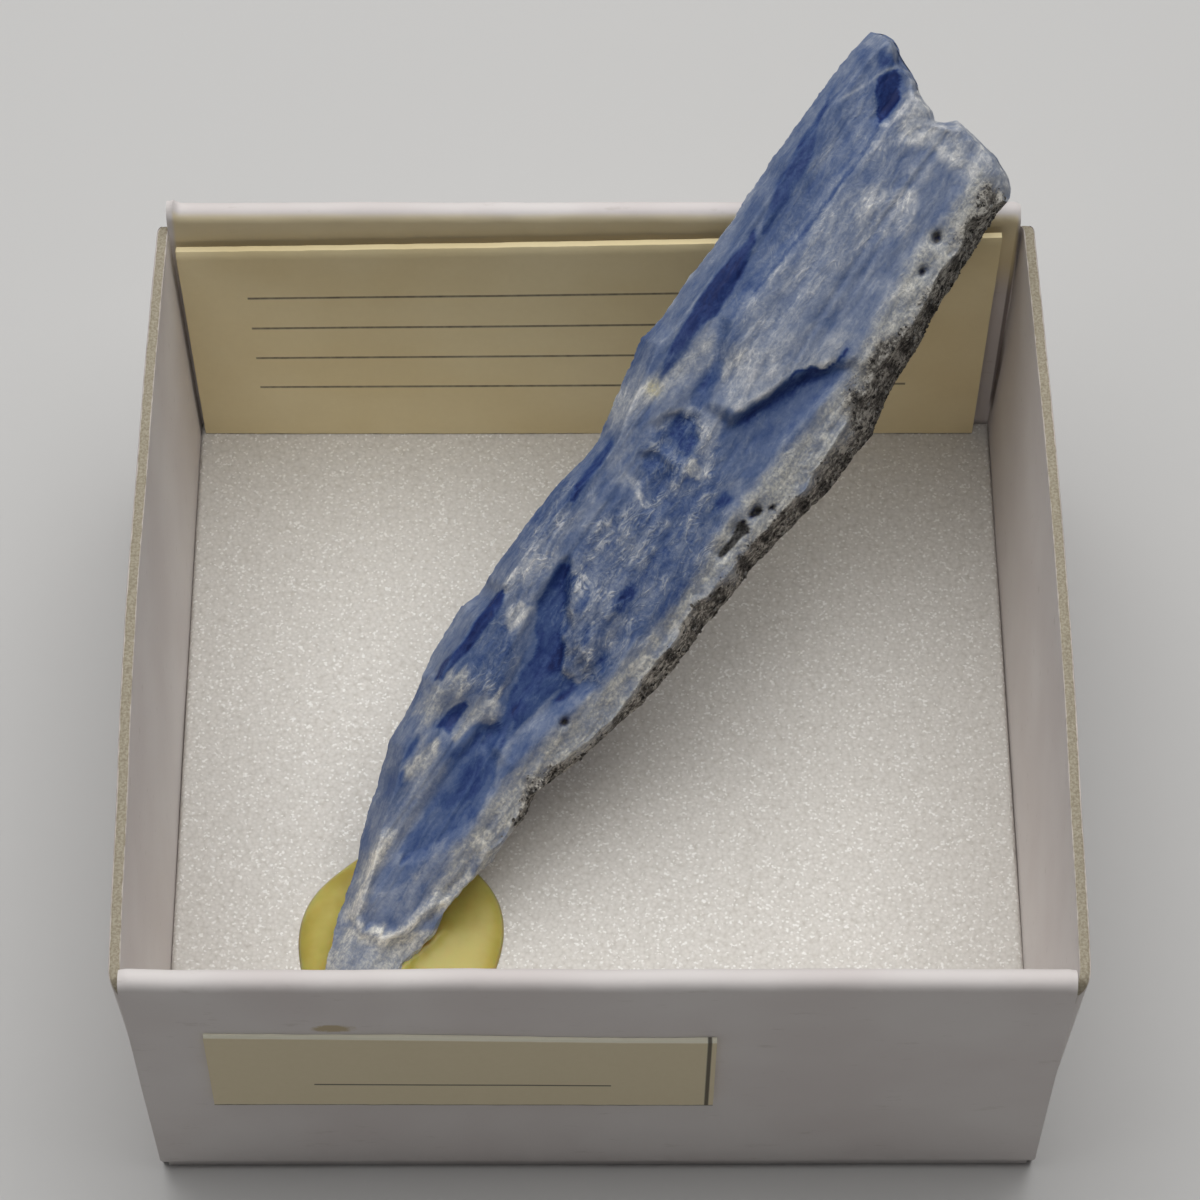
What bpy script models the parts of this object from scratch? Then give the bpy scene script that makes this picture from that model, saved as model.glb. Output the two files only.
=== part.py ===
"""Kyanite blade cluster, glued by its foot in a folding card specimen tray.

World frame: the origin is the centre of the tray's underside, +Z is up, -Y is the tray's front
wall and +X its right wall. Lengths are worked out in millimetres and turned to metres by MM.
"""
import math

import bmesh
import bpy
import numpy as np
from mathutils import Matrix

MM = 0.001
GAP = 0.3  # clearance between pieces that touch

# Tray, a square folding tray of one die-cut card
TRAY_SIDE = 40.0
TRAY_HEIGHT = 20.0
CARD = 0.5
DOUBLE_WALL = 1.1  # the front and back walls are the card folded over itself
FRONT_SPLAY = 1.4  # how far each wall's top stands out past its foot
BACK_SPLAY = 1.1
SIDE_SPLAY = 0.8
RIM_FLARE_LEFT, RIM_FLARE_RIGHT = 0.33, 0.13  # how much further out a folded rim ends than its wall's foot
SIDE_HEIGHT = 19.0  # the raw-edged side walls end a little below the rims
SIDE_BOW = 0.3  # how far a side wall's top bulges out at mid length
SIDE_INSET = 0.5  # the side walls end this far inside the front and back faces
CORNER_RUN, CORNER_TURN = 0.85, 0.4  # a side wall's ends bend inwards: length of the bend, and how far in
CORNER_FALL = 0.8  # how far its top edge falls there

# Foam pad
FOAM_TOP = 4.7
FOAM_HALF_X = 19.15
FOAM_FRONT_Y, FOAM_BACK_Y = -18.6, 18.55
FOAM_SPREAD = 0.25  # its top is this much wider on each side, as the tray's walls splay out

# Name card, hand cut, standing on the foam and leaning on the back wall: (x, y, z) of its corners
NAME_CARD_THICKNESS = 0.3
NAME_CARD_CORNERS = [(-19.4, 18.30, 5.0), (18.8, 18.30, 5.0), (19.2, 19.22, 19.1), (-19.95, 19.14, 18.1)]

# Number label on the front wall: left, right, and the height of its corners
LABEL_THICKNESS = 0.2
LABEL_LEFT_X, LABEL_RIGHT_X = -17.0, 5.05
LABEL_TOP_Z, LABEL_BOTTOM_Z = (15.4, 14.8), (8.2, 8.0)

# Glue dab on the foam
DAB_CENTRE = (-9.1, -10.9)
DAB_RADIUS_X, DAB_RADIUS_Y = 4.6, 5.7
DAB_HEIGHT = 0.7

# Cluster: the place of its frame and its attitude. In that frame +X is across the blades,
# +Y along them to the tip and +Z out of the broad face; the numbers below are (x, y) in it.
FOOT_PLACE = (-9.72, -11.15, 7.2)
HEADING, RISE, TURN = 36.96, 25.98, 19.14  # degrees: right of +Y, above level, about the long axis
SOLE_Z = FOAM_TOP + GAP  # the foot stands on the foam and is flat there
THICK_AT_RIM = 4.75  # thickness under the face where the blades pass just over the back rim
THICKEST = 5.6
LEFT_BEVEL, LEFT_DROP = 0.95, 1.5  # width of the left side's bevel, and how far it falls above the foot
TOP_BEVEL, TOP_DROP = 0.6, 1.6
FOOT_BEVEL, FOOT_DROP = 0.6, 0.35
# How far the right side falls, at places along the blades: (y, fall)
MATRIX_DROP = [(-3.0, 0.4), (1.5, 0.8), (5.0, 1.3), (12.0, 2.2), (20.0, 3.0), (44.0, 3.0)]
LEFT_EDGE = [(-0.8, -4.5), (-1.2, -3.5), (-1.45, -2.8), (-1.8, -1.8), (-2.1, -1.0), (-2.3, 0.0),
             (-2.6, 1.2), (-3.1, 2.5), (-3.4, 3.4), (-3.7, 4.4), (-3.85, 5.1), (-4.2, 6.1), (-4.55, 7.2),
             (-4.55, 8.5), (-4.7, 10.0), (-4.9, 10.9), (-5.03, 12.0), (-5.05, 14.2), (-4.72, 15.1),
             (-4.73, 16.7), (-4.6, 18.8), (-4.35, 21.3), (-4.0, 23.0), (-3.9, 24.2), (-4.2, 25.5),
             (-4.4, 27.0), (-4.78, 29.1), (-4.5, 30.3), (-4.4, 32.5), (-4.2, 35.0), (-4.18, 37.5),
             (-4.1, 38.6), (-4.18, 39.4), (-4.1, 40.6), (-4.0, 42.7), (-3.9, 44.0), (-3.76, 45.6),
             (-3.4, 46.9)]
RIGHT_EDGE = [(1.1, -4.4), (1.5, -3.4), (1.85, -2.4), (2.0, -1.3), (2.1, -0.2), (2.25, 0.9), (2.1, 2.0),
              (2.25, 3.4), (2.7, 5.0), (2.67, 6.3), (2.88, 7.4), (2.65, 8.8), (3.15, 10.0), (3.6, 11.2),
              (3.95, 12.5), (4.2, 13.6), (4.65, 14.8), (4.85, 16.3), (5.07, 18.0), (5.15, 19.7),
              (5.4, 21.2), (5.55, 23.0), (5.95, 25.2), (6.35, 26.9), (6.6, 27.8), (6.68, 29.5),
              (6.92, 31.2), (6.6, 32.9), (6.45, 34.2), (6.5, 35.8), (6.27, 37.6), (6.3, 39.5),
              (6.24, 41.3), (6.2, 43.1), (6.2, 43.9)]
TOP_EDGE = [(-3.4, 46.9), (-3.0, 47.2), (-2.3, 47.25), (-1.85, 47.0), (-1.45, 46.5), (-0.85, 46.45),
            (-0.25, 46.1), (0.15, 45.6), (0.95, 45.4), (1.35, 45.05), (1.8, 45.2), (2.15, 45.6),
            (2.75, 45.55), (3.6, 45.4), (4.7, 45.15), (5.6, 44.7), (6.0, 44.35), (6.2, 43.9)]
FOOT_EDGE = [(-0.8, -4.5), (0.2, -4.8), (1.1, -4.4)]

# The forms on the broad face: the outline of each in (x, y), walked to the right hand side
GROOVE = [(-0.4, 45.4), (-0.5, 43.0), (-0.8, 40.1), (-0.8, 37.1), (-1.2, 35.4), (-1.4, 33.2), (-1.6, 31.8),
          (-1.3, 30.2), (-1.0, 28.6)]
RAISED_PLATE = [(-0.4, 45.6), (-0.5, 43.0), (-0.8, 40.1), (-0.8, 37.1), (-1.2, 35.4), (-1.4, 33.2),
                (-1.6, 31.8), (-0.8, 29.9), (-0.3, 28.3), (0.8, 28.2), (1.4, 29.4), (2.1, 31.1),
                (2.6, 31.9), (3.3, 32.9), (3.9, 33.3), (5.2, 33.9), (7.0, 34.5), (7.0, 46.0)]
TIP_FACET = [(-2.2, 46.6), (-1.2, 46.3), (-0.4, 45.5), (-0.6, 43.6), (-1.1, 43.3), (-1.9, 44.9)]
STEP_RECESS = [(4.1, 33.3), (2.6, 31.9), (2.1, 31.1), (1.4, 29.4), (0.8, 28.1), (0.8, 26.9), (1.5, 26.0),
               (2.7, 25.8), (3.3, 26.9), (3.6, 29.7), (4.1, 31.6), (4.3, 32.9)]
UPPER_HOLLOW = [(-2.0, 25.9), (-1.6, 26.8), (-0.5, 27.4), (0.1, 26.4), (0.3, 25.4), (-0.4, 25.1),
                (-1.3, 25.3)]
LOWER_HOLLOW = [(-1.8, 24.4), (-1.0, 24.9), (-0.2, 24.6), (0.4, 23.3), (0.3, 22.4), (-0.5, 22.8),
                (-1.3, 23.3)]
WRINKLED_PLATE = [(-1.9, 18.6), (-1.0, 17.0), (-0.3, 16.2), (-0.3, 15.5), (0.3, 14.8), (0.5, 14.2),
                  (1.5, 14.2), (1.9, 14.9), (2.0, 17.0), (2.1, 18.6), (1.8, 19.7), (0.9, 20.8),
                  (-0.7, 21.2), (-1.7, 20.8)]
DEEP_RECESS = [(-2.0, 18.4), (-2.1, 16.1), (-1.8, 14.5), (-1.5, 13.0), (-1.0, 11.8), (-0.2, 10.4),
               (0.7, 9.6), (0.9, 11.2), (1.7, 13.4), (2.1, 14.4), (1.6, 14.9), (0.4, 15.2), (-0.3, 16.4),
               (-1.0, 17.4)]
LOWER_LENS = [(-1.1, 9.6), (-0.4, 9.5), (0.5, 9.1), (0.8, 7.9), (0.8, 6.2), (0.4, 4.7), (-0.5, 3.3),
              (-1.0, 2.9), (-1.6, 3.6), (-1.6, 5.5), (-1.5, 8.1)]
NAVY_STEP = [(-3.6, 15.8), (-4.0, 13.4), (-4.2, 10.8), (-5.6, 10.8), (-5.6, 15.8)]
FOOT_LIP = [(-2.2, 3.2), (-1.9, 1.7), (-1.5, 0.6), (-1.4, -0.3), (-0.8, -0.7), (0.2, -0.6), (0.9, 0.1),
            (1.1, 1.2), (1.6, 2.3)]
# Small pits: (x, y, radius, depth)
PITS = [(-2.6, 9.7, 0.75, 0.5), (-0.7, 10.0, 0.5, 0.5), (4.3, 40.2, 0.28, 0.4), (4.6, 38.6, 0.2, 0.3),
        (1.9, 12.2, 0.22, 0.3), (4.1, 25.1, 0.26, 0.35), (3.75, 23.9, 0.35, 0.35),
        (3.65, 22.7, 0.40, 0.30), (4.65, 25.65, 0.15, 0.2), (5.75, 26.6, 0.40, 0.35)]
MATRIX_INNER = [(6.0, 43.5), (5.3, 41.6), (5.2, 38.7), (5.4, 35.7), (5.4, 32.0), (5.4, 29.8), (5.2, 26.3),
                (4.6, 22.9), (4.2, 20.1), (3.9, 15.7), (3.5, 13.0), (2.6, 9.5), (2.3, 6.6), (1.9, 2.0),
                (1.5, -3.0)]
MATRIX_SIDE = MATRIX_INNER + [(12.0, -3.0), (12.0, 43.5)]

FACE_ROWS, FACE_COLUMNS = 88, 27  # grid of the broad face, along and across
FINEST_EDGE = 0.22  # steps are no sharper than this, which the grid can carry


def material(name, colour, roughness):
    made = bpy.data.materials.new(name)
    made.use_nodes = True
    shader = made.node_tree.nodes["Principled BSDF"]
    shader.inputs["Base Color"].default_value = (*colour, 1.0)
    shader.inputs["Roughness"].default_value = roughness
    shader.inputs["Metallic"].default_value = 0.0
    return made


def add_piece(name, points, faces, finish=None):
    """A named object from points in millimetres and faces, its faces pointing outwards."""
    mesh = bpy.data.meshes.new(name)
    mesh.from_pydata([tuple(MM * c for c in p) for p in points], [], faces)
    bm = bmesh.new()
    bm.from_mesh(mesh)
    bmesh.ops.recalc_face_normals(bm, faces=bm.faces)
    bm.to_mesh(mesh)
    bm.free()
    piece = bpy.data.objects.new(name, mesh)
    bpy.context.scene.collection.objects.link(piece)
    if finish:
        mesh.materials.append(finish)
    return piece


def loft(name, sections, finish=None):
    """A closed body through loops of equal count, capped at both ends."""
    count = len(sections[0])
    points = [p for loop in sections for p in loop]
    faces = [tuple(reversed(range(count)))]
    for k in range(len(sections) - 1):
        for j in range(count):
            a, b = k * count + j, k * count + (j + 1) % count
            faces.append((a, b, b + count, a + count))
    faces.append(tuple(range(len(points) - count, len(points))))
    return add_piece(name, points, faces, finish)


def boolean(target, other, operation):
    """Joins or cuts target with other, which is then removed."""
    step = target.modifiers.new(operation.lower(), "BOOLEAN")
    step.operation = operation
    step.solver = "EXACT"
    step.object = other
    bpy.context.view_layer.update()
    result = bpy.data.meshes.new_from_object(target.evaluated_get(bpy.context.evaluated_depsgraph_get()))
    target.modifiers.clear()
    target.data = result
    bpy.data.objects.remove(other)


def end_wall_loop(side, splay, at_x):
    """Section of a folded-over wall at one of its ends: foot, outer face, round rim, inner face.

    side is -1 at the front and 1 at the back; at_x gives the section's x at a height.
    """
    radius = DOUBLE_WALL / 2
    outline = [(0.0, 0.0)]
    for k in range(7):
        angle = math.pi * k / 6
        outline.append((radius * (1 - math.cos(angle)), TRAY_HEIGHT - radius + radius * math.sin(angle)))
    outline.append((DOUBLE_WALL, 0.0))
    half = TRAY_SIDE / 2
    return [(at_x(z), side * (half + splay * z / TRAY_HEIGHT - inward), z) for inward, z in outline]


def end_wall(name, side, splay):
    def end(sign, flare):
        return lambda z: sign * (TRAY_SIDE / 2 - 0.03 + flare * z / TRAY_HEIGHT)
    ends = (end(-1, RIM_FLARE_LEFT), end(1, RIM_FLARE_RIGHT))
    return loft(name, [end_wall_loop(side, splay, at_x) for at_x in ends])


def side_wall(name, sign, steps=8):
    """Single card: foot straight, top splayed out and bowed, ends bent in and down at the corners."""
    sections = []
    bend = CORNER_RUN / (TRAY_SIDE / 2 - SIDE_INSET)
    places = [-1, -1 + 0.45 * bend, *np.linspace(-1 + bend, 1 - bend, steps - 1), 1 - 0.45 * bend, 1]
    for f in places:
        loop = []
        to_end = max(abs(f) - (1 - bend), 0.0) / bend
        turned = 1 - math.sqrt(1 - to_end ** 2)
        for z in (0.0, SIDE_HEIGHT * 0.5, SIDE_HEIGHT):
            rise = z / TRAY_HEIGHT
            front = -(TRAY_SIDE / 2 - SIDE_INSET + FRONT_SPLAY * rise)
            back = TRAY_SIDE / 2 - SIDE_INSET + BACK_SPLAY * rise
            y = front + (back - front) * (f + 1) / 2
            outer = TRAY_SIDE / 2 + (SIDE_SPLAY + SIDE_BOW * (1 - f * f)) * z / SIDE_HEIGHT
            corner = turned * CORNER_FALL if z == SIDE_HEIGHT else 0.0
            loop.append((sign * (outer - turned * CORNER_TURN), y, z - corner))
        inner = [(x - sign * CARD, y, z) for x, y, z in reversed(loop)]
        sections.append(loop + inner)
    return loft(name, sections)


def card_tray(finish):
    """The folded sheet: base, two folded-over end walls and two single side walls, as one body."""
    half = TRAY_SIDE / 2 - 0.1
    square = [(-half, -half), (half, -half), (half, half), (-half, half)]
    tray = loft("card_tray", [[(x, y, z) for x, y in square] for z in (0.0, CARD)], finish)
    for wall in (end_wall("front_wall", -1, FRONT_SPLAY), end_wall("back_wall", 1, BACK_SPLAY),
                 side_wall("left_wall", -1), side_wall("right_wall", 1)):
        boolean(tray, wall, "UNION")
    return tray


def plate_piece(name, front, depth, finish):
    """A thin sheet: four front corners and the same four moved by depth, an (x, y, z) offset."""
    behind = [tuple(a + b for a, b in zip(p, depth)) for p in front]
    return loft(name, [front, behind], finish)


def smooth_ramp(values, low, high):
    """0 below low, 1 above high and a smooth S between them."""
    f = np.clip((values - low) / (high - low), 0.0, 1.0)
    return f * f * (3 - 2 * f)


def distance_to_line(x, y, line):
    """Shortest distance from each point to a line through the given corners."""
    nearest = np.full(np.shape(x), np.inf)
    for (ax, ay), (bx, by) in zip(line[:-1], line[1:]):
        dx, dy = bx - ax, by - ay
        f = np.clip(((x - ax) * dx + (y - ay) * dy) / (dx * dx + dy * dy), 0.0, 1.0)
        nearest = np.minimum(nearest, np.hypot(x - ax - f * dx, y - ay - f * dy))
    return nearest


def depth_inside(x, y, outline):
    """Distance to a closed outline, positive inside it and negative outside."""
    inside = np.zeros(np.shape(x), bool)
    for (ax, ay), (bx, by) in zip(outline, outline[1:] + outline[:1]):
        if ay != by:
            crosses = ((ay > y) != (by > y)) & (x < ax + (y - ay) * (bx - ax) / (by - ay))
            inside ^= crosses
    return np.where(inside, 1.0, -1.0) * distance_to_line(x, y, outline + outline[:1])


def within(x, y, outline, edge):
    """1 inside an outline and 0 outside, over an edge of the given width."""
    edge = max(edge, FINEST_EDGE)
    return smooth_ramp(depth_inside(x, y, outline), -edge / 2, edge / 2)


def value_noise(x, y, seed):
    """Smooth noise from -1 to 1: hashed corner values of a unit grid, blended between corners."""
    def corner(i, j):
        mixed = np.sin(i * 127.1 + j * 311.7 + seed * 74.7) * 43758.5453
        return 2 * (mixed - np.floor(mixed)) - 1
    i, j = np.floor(x), np.floor(y)
    u, v = x - i, y - j
    u, v = u * u * (3 - 2 * u), v * v * (3 - 2 * v)
    low = corner(i, j) * (1 - u) + corner(i + 1, j) * u
    high = corner(i, j + 1) * (1 - u) + corner(i + 1, j + 1) * u
    return low * (1 - v) + high * v


def lath_ledges(x, y, width, length, seed):
    """Long low ledges along the blades: stretched noise cut to a few flat levels."""
    drift = 0.35 * value_noise(x / 2.2, y / 9.0, seed + 3)
    level = 1.5 * value_noise((x + drift) / width, y / length, seed)
    step = np.floor(level)
    return step + smooth_ramp(level - step, 0.75, 1.0)


def face_height(x, y):
    """How far the broad face stands out at (x, y): a level plane with plates, steps and hollows."""
    height = 0.05 * lath_ledges(x, y, 1.25, 13.0, 1) + 0.07 * value_noise(x / 0.9, y / 3.0, 2)
    height -= 0.30 * smooth_ramp(depth_inside(x, y, MATRIX_SIDE), -1.6, 0.0)
    height -= 0.25 * smooth_ramp(y, 38.0, 47.0) * smooth_ramp(-x, -1.0, 3.0)
    plate = within(x, y, RAISED_PLATE, 0.45)
    height += plate * (0.25 + 0.20 * smooth_ramp(-y, -37.0, -32.0) - 0.05 * (x - 1.0))
    height -= 0.12 * np.exp(-(distance_to_line(x, y, GROOVE) / 0.3) ** 2)
    height -= 0.45 * within(x, y, TIP_FACET, 0.7) * smooth_ramp(x, -2.2, -0.5)
    height -= 0.22 * within(x, y, STEP_RECESS, 0.5) * smooth_ramp(y, 25.5, 30.5)
    for hollow in (UPPER_HOLLOW, LOWER_HOLLOW):
        height -= within(x, y, hollow, 0.5) * (0.20 + 0.08 * value_noise(x / 0.5, y / 0.5, 4))
    lifted = (1 - smooth_ramp(y, 16.5, 20.0)) * (1 - smooth_ramp(x, 0.8, 2.0))
    height += within(x, y, WRINKLED_PLATE, 0.4) * lifted * (0.32 + 0.06 * value_noise(x / 0.5, y / 0.8, 5))
    height -= 0.35 * within(x, y, DEEP_RECESS, 0.6)
    height -= 0.25 * within(x, y, LOWER_LENS, 0.5)
    height -= 0.35 * within(x, y, NAVY_STEP, 0.5)
    height += 0.32 * np.exp(-(distance_to_line(x, y, FOOT_LIP) / 0.35) ** 2)
    for px, py, radius, depth in PITS:
        height -= depth * np.exp(-((x - px) ** 2 + ((y - py) / 1.2) ** 2) / radius ** 2)
    height += 0.9 * smooth_ramp(-y, 0.4, 3.0) - 0.2 * smooth_ramp(-y, -0.6, 0.6)
    return height


def back_depth(x, y):
    """How far below the plane the hidden side lies: lath-shaped lumps, thinner to tip and foot."""
    middle = smooth_ramp(y, 6.0, 14.0) * (1 - smooth_ramp(y, 27.0, 35.0))
    thick = THICK_AT_RIM + (THICKEST - THICK_AT_RIM) * middle
    thick -= 0.35 * lath_ledges(x + 3.0, y, 1.9, 13.0, 6) ** 2
    thick -= 0.12 * value_noise(x / 1.3, y / 1.3, 7) + 0.12
    return -thick


def resample(line, count):
    """Points at even steps of length along a line of straight runs."""
    line = np.array(line, float)
    run = np.concatenate([[0.0], np.cumsum(np.hypot(*np.diff(line, axis=0).T))])
    at = np.linspace(0.0, run[-1], count)
    return np.stack([np.interp(at, run, line[:, k]) for k in (0, 1)], axis=-1)


def coons_patch(left, right, foot, top):
    """The grid between four edges: the two blends of opposite edges, less that of the corners."""
    rows, columns = len(left), len(foot)
    u = np.linspace(0.0, 1.0, rows)[:, None, None]
    w = np.linspace(0.0, 1.0, columns)[None, :, None]
    across = left[:, None] * (1 - w) + right[:, None] * w
    lengthwise = foot[None] * (1 - u) + top[None] * u
    corners = (foot[0] * (1 - w) + foot[-1] * w) * (1 - u) + (top[0] * (1 - w) + top[-1] * w) * u
    return across + lengthwise - corners


def crowded(count):
    """Column places from 0 to 1, closer together at both edges, where the sides fall away."""
    w = np.linspace(0.0, 1.0, count)
    return w - 0.10 * np.sin(2 * np.pi * w)


def cluster_surface():
    """Points and faces of the cluster, in millimetres in its own frame.

    A front sheet and a back sheet over one patch of the (x, y) outline. The front sheet follows
    face_height and falls away at its edges: a short bevel on the left, a steep rough matrix side
    on the right. The back sheet shares the front sheet's rim.
    """
    left, right = resample(LEFT_EDGE, FACE_ROWS), resample(RIGHT_EDGE, FACE_ROWS)
    foot, top = resample(FOOT_EDGE, FACE_COLUMNS), resample(TOP_EDGE, FACE_COLUMNS)
    even = coons_patch(left, right, foot, top)
    w_even, w = np.linspace(0.0, 1.0, FACE_COLUMNS), crowded(FACE_COLUMNS)
    flat = np.stack([[np.interp(w, w_even, row[:, k]) for row in even] for k in (0, 1)], axis=-1)
    flat[-1], flat[0] = top, foot
    x, y = flat[..., 0], flat[..., 1]

    from_left = distance_to_line(x, y, LEFT_EDGE)
    from_right = distance_to_line(x, y, RIGHT_EDGE)
    from_top = distance_to_line(x, y, TOP_EDGE)
    from_foot = distance_to_line(x, y, FOOT_EDGE)
    past_matrix_line = np.maximum(depth_inside(x, y, MATRIX_SIDE), 0.0)
    down_matrix = past_matrix_line / (past_matrix_line + from_right + 1e-6)
    left_drop = LEFT_DROP * (0.5 + 0.5 * smooth_ramp(y, -3.0, 2.0))
    fall = left_drop * (1 - np.clip(from_left / LEFT_BEVEL, 0.0, 1.0))
    fall = np.maximum(fall, down_matrix * np.interp(y, *zip(*MATRIX_DROP)))
    fall = np.maximum(fall, TOP_DROP * (1 - smooth_ramp(from_top, 0.0, TOP_BEVEL)))
    fall = np.maximum(fall, FOOT_DROP * (1 - smooth_ramp(from_foot, 0.0, FOOT_BEVEL)))
    lumps = 0.22 * value_noise(x / 0.8, y / 0.8, 8) + 0.12 * value_noise(x / 0.4, y / 0.4, 9)
    rough = smooth_ramp(down_matrix, 0.0, 0.3) * smooth_ramp(from_right, 0.0, 0.2)
    front = face_height(x, y) - fall + rough * lumps

    inward = np.minimum(np.minimum(from_left, from_right), np.minimum(from_top, from_foot))
    rim = front.copy()
    swell = smooth_ramp(inward, 0.0, 1.5)
    back = rim * (1 - swell) + back_depth(x, y) * swell
    back = np.minimum(back, front - 0.35 * smooth_ramp(inward, 0.0, 0.3))

    upper = np.stack([x, y, front], axis=-1)
    lower = np.stack([x, y, back], axis=-1)
    return upper, lower


def place_cluster(points):
    """Turns points of the cluster's frame to the tray's frame."""
    turn = (Matrix.Rotation(math.radians(-HEADING), 3, "Z") @ Matrix.Rotation(math.radians(RISE), 3, "X")
            @ Matrix.Rotation(math.radians(TURN), 3, "Y"))
    return points @ np.array(turn).T + np.array(FOOT_PLACE)


def kyanite_blades(finish):
    """The two sheets closed at their common rim, with the foot cut off level above the foam."""
    upper, lower = cluster_surface()
    upper, lower = place_cluster(upper), place_cluster(lower)
    rows, columns = upper.shape[:2]
    lower[..., 2] = np.maximum(lower[..., 2], SOLE_Z + 0.02)
    upper[..., 2] = np.maximum(upper[..., 2], lower[..., 2])

    number = np.arange(rows * columns).reshape(rows, columns)
    inner = np.full((rows, columns), -1)
    hidden = np.arange((rows - 2) * (columns - 2)).reshape(rows - 2, columns - 2)
    inner[1:-1, 1:-1] = rows * columns + hidden
    under = np.where(inner < 0, number, inner)
    faces = []
    for i in range(rows - 1):
        for j in range(columns - 1):
            a, b, c, d = number[i, j], number[i, j + 1], number[i + 1, j + 1], number[i + 1, j]
            faces += [(a, b, c), (a, c, d)]
            a, b, c, d = under[i, j], under[i, j + 1], under[i + 1, j + 1], under[i + 1, j]
            faces += [(a, d, c), (a, c, b)]
    points = np.concatenate([upper.reshape(-1, 3), lower[1:-1, 1:-1].reshape(-1, 3)])
    return add_piece("kyanite_blades", points.tolist(), [tuple(int(k) for k in f) for f in faces], finish)


def glue_dab(cluster, finish):
    """A low round blob on the foam, with a pocket where the cluster's foot stands in it."""
    around, rings = 40, 7
    sections = []
    for k in range(rings):
        rise = math.sin(0.5 * math.pi * k / (rings - 1))
        spread = math.cos(0.5 * math.pi * k / rings) ** 0.7
        loop = []
        for j in range(around):
            angle = 2 * math.pi * j / around
            wander = 1 + 0.04 * math.sin(2 * angle + 0.6) + 0.025 * math.sin(5 * angle)
            loop.append((DAB_CENTRE[0] + DAB_RADIUS_X * spread * wander * math.cos(angle),
                         DAB_CENTRE[1] + DAB_RADIUS_Y * spread * wander * math.sin(angle),
                         FOAM_TOP + GAP + DAB_HEIGHT * rise))
        sections.append(loop)
    dab = loft("glue_dab", sections, finish)

    reach = MM * (FOAM_TOP + DAB_HEIGHT + 2.5)
    foot = [v.co + v.normal * MM * (GAP + 0.08) for v in cluster.data.vertices if v.co.z < reach]
    sole = MM * (SOLE_Z + 0.1)
    below = [(p.x, p.y, MM * (FOAM_TOP - 1.0)) for p in foot if p.z < sole]
    points = bmesh.new()
    for place in foot + below:
        points.verts.new(place)
    hull = bmesh.ops.convex_hull(points, input=points.verts)
    loose = {v for v in hull["geom_interior"] + hull["geom_unused"] if isinstance(v, bmesh.types.BMVert)}
    bmesh.ops.delete(points, geom=list(loose), context="VERTS")
    mesh = bpy.data.meshes.new("pocket")
    points.to_mesh(mesh)
    points.free()
    pocket = bpy.data.objects.new("pocket", mesh)
    bpy.context.scene.collection.objects.link(pocket)
    boolean(dab, pocket, "DIFFERENCE")
    return dab


def foam_pad(finish):
    """A flat block on the tray's floor, a little wider at its top."""
    def level(z, spread):
        right, front, back = FOAM_HALF_X + spread, FOAM_FRONT_Y - spread, FOAM_BACK_Y + spread
        return [(-right, front, z), (right, front, z), (right, back, z), (-right, back, z)]
    return loft("foam_pad", [level(CARD + GAP, 0.0), level(FOAM_TOP, FOAM_SPREAD)], finish)


def number_label(finish):
    """A paper rectangle on the sloping front face."""
    def on_wall(x, z):
        return (x, -(TRAY_SIDE / 2 + FRONT_SPLAY * z / TRAY_HEIGHT) - GAP - LABEL_THICKNESS, z)
    front = [on_wall(LABEL_LEFT_X, LABEL_BOTTOM_Z[0]), on_wall(LABEL_RIGHT_X, LABEL_BOTTOM_Z[1]),
             on_wall(LABEL_RIGHT_X, LABEL_TOP_Z[1]), on_wall(LABEL_LEFT_X, LABEL_TOP_Z[0])]
    return plate_piece("number_label", front, (0.0, LABEL_THICKNESS, 0.0), finish)


def main():
    for old in list(bpy.data.objects):
        bpy.data.objects.remove(old)
    card_tray(material("white_card", (0.56, 0.53, 0.51), 0.75))
    foam_pad(material("white_foam", (0.72, 0.68, 0.61), 0.9))
    cluster = kyanite_blades(material("kyanite", (0.10, 0.17, 0.36), 0.45))
    glue_dab(cluster, material("yellow_glue", (0.50, 0.42, 0.12), 0.3))
    plate_piece("name_card", NAME_CARD_CORNERS, (0.0, NAME_CARD_THICKNESS, 0.0),
                material("cream_card", (0.62, 0.53, 0.33), 0.7))
    number_label(material("cream_paper", (0.66, 0.60, 0.45), 0.7))


main()
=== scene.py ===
"""Looks of the kyanite blade cluster in its folding card specimen tray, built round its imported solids.

Shapes are surfaces worked out on grids of points, in millimetres in the tray's frame: the origin is
the centre of the tray's underside, +Z is up and -Y is the front wall. Every noise has its own seed.
"""
import math

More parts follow.
